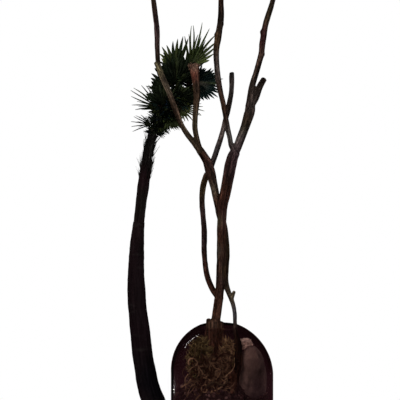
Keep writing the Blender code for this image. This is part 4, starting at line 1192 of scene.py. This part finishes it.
def make_moss(node, lump, seed, count, dark, light, size):
    """A clump of moss: a rough core under many short curled strands."""
    rng = random.Random(seed)
    centre, half = lump
    surface = lump_relief(centre, half, 0.06)
    core = Shape()
    points, faces = BALLS[4]
    placed = []
    for point in points:
        place = surface(point * 0.93) + point * 0.0016 * fractal(point * 5, 4)
        place.z = max(place.z, MOSS_LOW)
        placed.append(place)
    # the core is painted at 0.55 of the dark tint: painted shade under the strands
    core.add(placed, faces, scaled(dark, 0.55))
    settle(core.made(node + "_clump_core", MOSS), "vessel", "moss", node)
    strands = Shape()
    for _ in range(count):
        direction = unit(rng)
        start = surface(direction * 0.94)
        out = Vector((direction.x / half[0], direction.y / half[1], direction.z / half[2])).normalized()
        heading = out * rng.uniform(0.2, 1.0) + unit(rng) * 0.9 + Vector((0, 0, 0.25))
        length = size * rng.uniform(0.005, 0.012)
        strand = hair(rng, start, heading, length, rng.uniform(0.0005, 0.0009), 0.55)
        buried = start.z * 1000 < heap_height(start.x * 1000, start.y * 1000)
        if buried or not all(in_vessel(*(Vector(row[:3]) * 1000), 1.5) for row in strand):
            continue
        tint = mix3(dark, light, rng.random() ** 1.3)
        strands.tube(strand, 4, scaled(tint, rng.uniform(0.5, 1.5)))
    settle(strands.made(node + "_clump_strands", MOSS), "vessel", "moss")


def make_tangle():
    """Thin roots that wind over each other in front of the stump."""
    rng = random.Random(23)
    shape = Shape()
    for _ in range(300):
        x, z = rng.uniform(-34, 32), rng.uniform(122, 172)
        y = -42 - 9 * math.cos((x + 2) / 38) + rng.uniform(-8, 10)
        here = Vector((x, y, max(z, heap_height(x, y) + 1)))
        heading = Vector((rng.uniform(-1, 1), rng.uniform(-0.25, 0.25), rng.uniform(-1, 1))).normalized()
        curl = rng.choice((-1, 1)) * rng.choice((0.03, 0.12, 0.25, 0.5)) * rng.uniform(0.7, 1.3)
        radius = rng.choice((0.35, 0.45, 0.5, 0.6, 0.8, 1.3))
        count = rng.randrange(6, 14)
        rows = []
        for index in range(count):
            if not in_vessel(*here, 2.5) or here.x > 33:
                break
            place = [value * 0.001 for value in here]
            rows.append((*place, radius * 0.001 * (1 - 0.4 * index / count)))
            heading = Matrix.Rotation(curl + rng.uniform(-0.2, 0.2), 3, "Y") @ heading
            heading = (heading + unit(rng) * 0.15).normalized()
            heading.y *= 0.6
            here = here + heading * 2.4
            here.z = max(here.z, heap_height(here.x, here.y) + 0.5)
        if len(rows) < 5:
            continue
        tint = mix3((0.040, 0.016, 0.009), (0.620, 0.400, 0.240), rng.random() ** 3.0)
        shape.tube(rows, 6, tint)
    settle(shape.made("root_tangle", ROOT), "vessel", "pale_bark")


# ---------------------------------------------------------------- build it
PALM_BARK = trunk_look()
FIBRE = strand_look("fibre_look", 600)
LEAF = leaf_look()
SOIL = soil_look()
MOSS = strand_look("moss_look", 900)
ROOT = strand_look("root_look", 500)
BARK = bark_look("bark_look")
PALE_BARK = bark_look("pale_bark_look", 0.7)

make_tree(
    "main_tree", MAIN_TREE, BARK,
    ("main_stem", "right_branch", "right_stub", "centre_branch", "side_stick", "root_stump"),
)
make_tree(
    "second_tree", SECOND_TREE, BARK,
    ("second_stem", "left_stem", "far_left_branch", "left_branch", "back_branch", "low_stub"),
)
make_frayed_end()
stout = [(x, y, z, 1.2 * radius) for x, y, z, radius in FAR_LEFT_STUB]
pale_stub = relief_tube("pale_stub", stout, 18, 0.0008, (0.115, 0.100, 0.055), PALE_BARK, twig_relief)
settle(pale_stub, "vessel", "pale_bark", "far_left_stub")
for number, route in enumerate(ROOT_TWIGS):
    slim = [(x, y, z, radius * 0.74) for x, y, z, radius in route]
    twig = relief_tube(f"twig_{number + 1}", slim, 14, 0.001, (0.115, 0.078, 0.044), PALE_BARK, twig_relief)
    settle(twig, "vessel", "pale_bark", f"root_twig_{number + 1}")

lower = relief_tube(
    "trunk_lower", TRUNK_LOWER, 64, 0.002, (0.0066, 0.0045, 0.0049), PALM_BARK, trunk_relief, TRUNK_LOW
)
settle(lower, "palm", "palm_bark", "palm_trunk_lower")
upper = relief_tube("trunk_upper", TRUNK_UPPER, 48, 0.002, (0.0070, 0.0055, 0.0056), PALM_BARK, trunk_relief)
settle(upper, "palm", "palm_bark", "palm_trunk_upper")
make_wrap("wrap_lower", "fibre_wrap_lower", SLEEVE_LOWER, 3, 110)
make_wrap("wrap_upper", "fibre_wrap_upper", SLEEVE_UPPER, 5, 130)
make_crown_core()
for leaf in LEAVES:
    make_leaf(*leaf)

make_glass()
make_soil()
make_gravel(random.Random(7))
smooth_look = stone_look("smooth_stone_look", scale=60, veins=1.5, roughness=0.5)
make_stone(
    "smooth_stone", "stone_smooth", "stone", smooth_look, SMOOTH_STONE, roughness=0.015,
    tint=(0.190, 0.128, 0.105), amount=0.7, scale=0.9, shaded_foot_tint=(0.062, 0.040, 0.042), flare=0.30,
)
coarse_look = stone_look("coarse_stone_look", scale=240, veins=1.8, roughness=0.8)
make_stone(
    "coarse_stone", "stone_coarse", "coarse_stone", coarse_look, COARSE_STONE, roughness=0.05,
    tint=(0.86, 0.66, 0.54), amount=2.6, scale=3.6, shaded_foot_tint=(0.52, 0.33, 0.26),
)
for node, lump, seed, count, dark, light, size in (
    ("moss_left", MOSS_LEFT, 11, 900, (0.110, 0.080, 0.032), (0.460, 0.360, 0.165), 1.0),
    ("moss_centre", MOSS_CENTRE, 12, 560, (0.130, 0.075, 0.040), (0.680, 0.470, 0.240), 1.0),
    ("moss_back", MOSS_BACK, 13, 700, (0.030, 0.018, 0.012), (0.060, 0.040, 0.020), 1.3),
):
    make_moss(node, lump, seed, count, dark, light, size)
make_tangle()

for name, look in (("base_plinth", lacquer_look()), ("base_pad", felt_look())):
    NODES[name].material_slots[0].material = look
steel = steel_look()
steel_parts = ("pin_", "collar_screw", "palm_stud", "palm_nut", "palm_washer", "trunk_dowel")
for name in NODES:
    if name.startswith(steel_parts):
        NODES[name].material_slots[0].material = steel
collar = collar_look()
for name in ("palm_collar", "palm_foot"):
    NODES[name].material_slots[0].material = collar


# ---------------------------------------------------------------- floor, light and camera
def make_floor():
    """A pale round table top, small enough to stay below the camera's view."""
    look, tree, shader = new_look("floor_look", Roughness=0.9, Specular_IOR_Level=0.2)
    faint = grains(tree, place_of(tree), 9, 3)
    finish_look(tree, shader, ramp(tree, faint, (0.3, (0.78, 0.775, 0.765)), (0.7, (0.82, 0.815, 0.805))))
    shape = Shape()
    outline = [(0, -0.012), (0.325, -0.012), (0.330, -0.009), (0.330, -0.003), (0.327, 0.0), (0, 0.0)]
    points, faces = turned_shape(outline, 96, 0, 0)
    shape.add(points, faces, (0.8, 0.8, 0.8))
    floor = shape.made("floor", look, smooth=False)
    floor.location.z = -0.0004
    floor.visible_glossy = False
    floor.visible_transmission = False


def make_light(name, place, target, size, power, colour=(1, 1, 1), glint=False, along=(1, 0, 0)):
    """A soft lamp that only lights, or with glint one that only shows in gloss; along is its long side."""
    data = bpy.data.lights.new(name, "AREA")
    data.shape = "RECTANGLE"
    data.size, data.size_y = size
    data.energy = power
    data.color = colour
    light = in_scene(name, data)
    back = (Vector(place) - Vector(target)).normalized()
    side = square_to(back, Vector(along))
    turn = Matrix((side, back.cross(side), back)).transposed().to_4x4()
    light.matrix_world = Matrix.Translation(place) @ turn
    light.visible_camera = False
    light.visible_diffuse = not glint
    light.visible_glossy = glint
    light.visible_transmission = False


def make_world():
    """White behind the object as the camera sees it, and for all else a dark room over a dim purple table."""
    world = bpy.data.worlds.new("studio")
    world.use_nodes = True
    bpy.context.scene.world = world
    tree = world.node_tree
    backdrop = tree.nodes["Background"]
    backdrop.inputs["Color"].default_value = (1.0, 1.0, 1.0, 1.0)
    backdrop.inputs["Strength"].default_value = 1.0
    way = put(tree, "SeparateXYZ", {"Vector": put(tree, "TexCoord", {}).outputs["Generated"]}).outputs["Z"]
    level = sums(tree, "MULTIPLY", sums(tree, "ADD", way, 1.0), 0.5)
    table, gloom, ceiling = (0.026, 0.0090, 0.0115), (0.0070, 0.0020, 0.0022), (0.010, 0.0045, 0.0055)
    surroundings = ramp(tree, level, (0.30, table), (0.42, table), (0.462, gloom), (1.0, ceiling))
    room = put(tree, "Background", {"Color": surroundings, "Strength": 1.0})
    path = put(tree, "LightPath", {})
    seen = path.outputs["Is Camera Ray"]
    swap = put(tree, "MixShader", {0: seen, 1: room.outputs[0], 2: backdrop.outputs[0]})
    tree.links.new(swap.outputs[0], tree.nodes["World Output"].inputs["Surface"])


make_floor()
make_world()
make_light("key", (-0.9, -1.1, 1.25), (0, 0, 0.42), (1.0, 1.0), 19.0, (1.0, 0.96, 0.92))
make_light("fill", (1.3, -0.9, 0.55), (0, 0, 0.38), (1.2, 1.2), 9.0, (0.95, 0.96, 1.0))
make_light("top", (0.1, 0.5, 1.7), (0, 0, 0.4), (0.9, 0.9), 10.0)
make_light("low", (0.1, -1.2, 0.12), (0.016, 0, 0.15), (0.5, 0.3), 3.0, (1.0, 0.95, 0.92))
make_light("back", (0.1, 1.5, 0.8), (0, 0, 0.35), (1.0, 1.0), 15.0)
make_light("right", (1.5, 0.6, 0.6), (0, 0, 0.35), (0.8, 1.0), 9.0)
make_light("left", (-1.5, 0.6, 0.6), (0, 0, 0.35), (0.8, 1.0), 6.0)
make_light(
    "arc", (-0.0782, 0.0028, 0.2385), (-0.0283, -0.0385, 0.1926), (0.066, 0.0020), 0.0034, glint=True,
    along=(0.0418, 0, 0.0432),
)
make_light("spot", (-0.455, 0.384, -0.021), (-0.053, -0.035, 0.119), (0.013, 0.0040), 0.024, glint=True)
glass_only = bpy.data.collections.new("glass_only")
glass_only.objects.link(bpy.data.objects["vessel_glass"])
for name in ("arc", "spot"):
    bpy.data.objects[name].light_linking.receiver_collection = glass_only

camera_data = bpy.data.cameras.new("camera")
camera_data.lens = 67.32
camera_data.sensor_width = 36.0
camera_data.clip_start, camera_data.clip_end = 0.05, 20.0
camera = in_scene("camera", camera_data)
camera.location = (-0.0163, -1.106, 0.3956)
camera.rotation_euler = (math.radians(90), 0, 0)
bpy.context.scene.camera = camera
bpy.context.scene.view_settings.view_transform = "Standard"
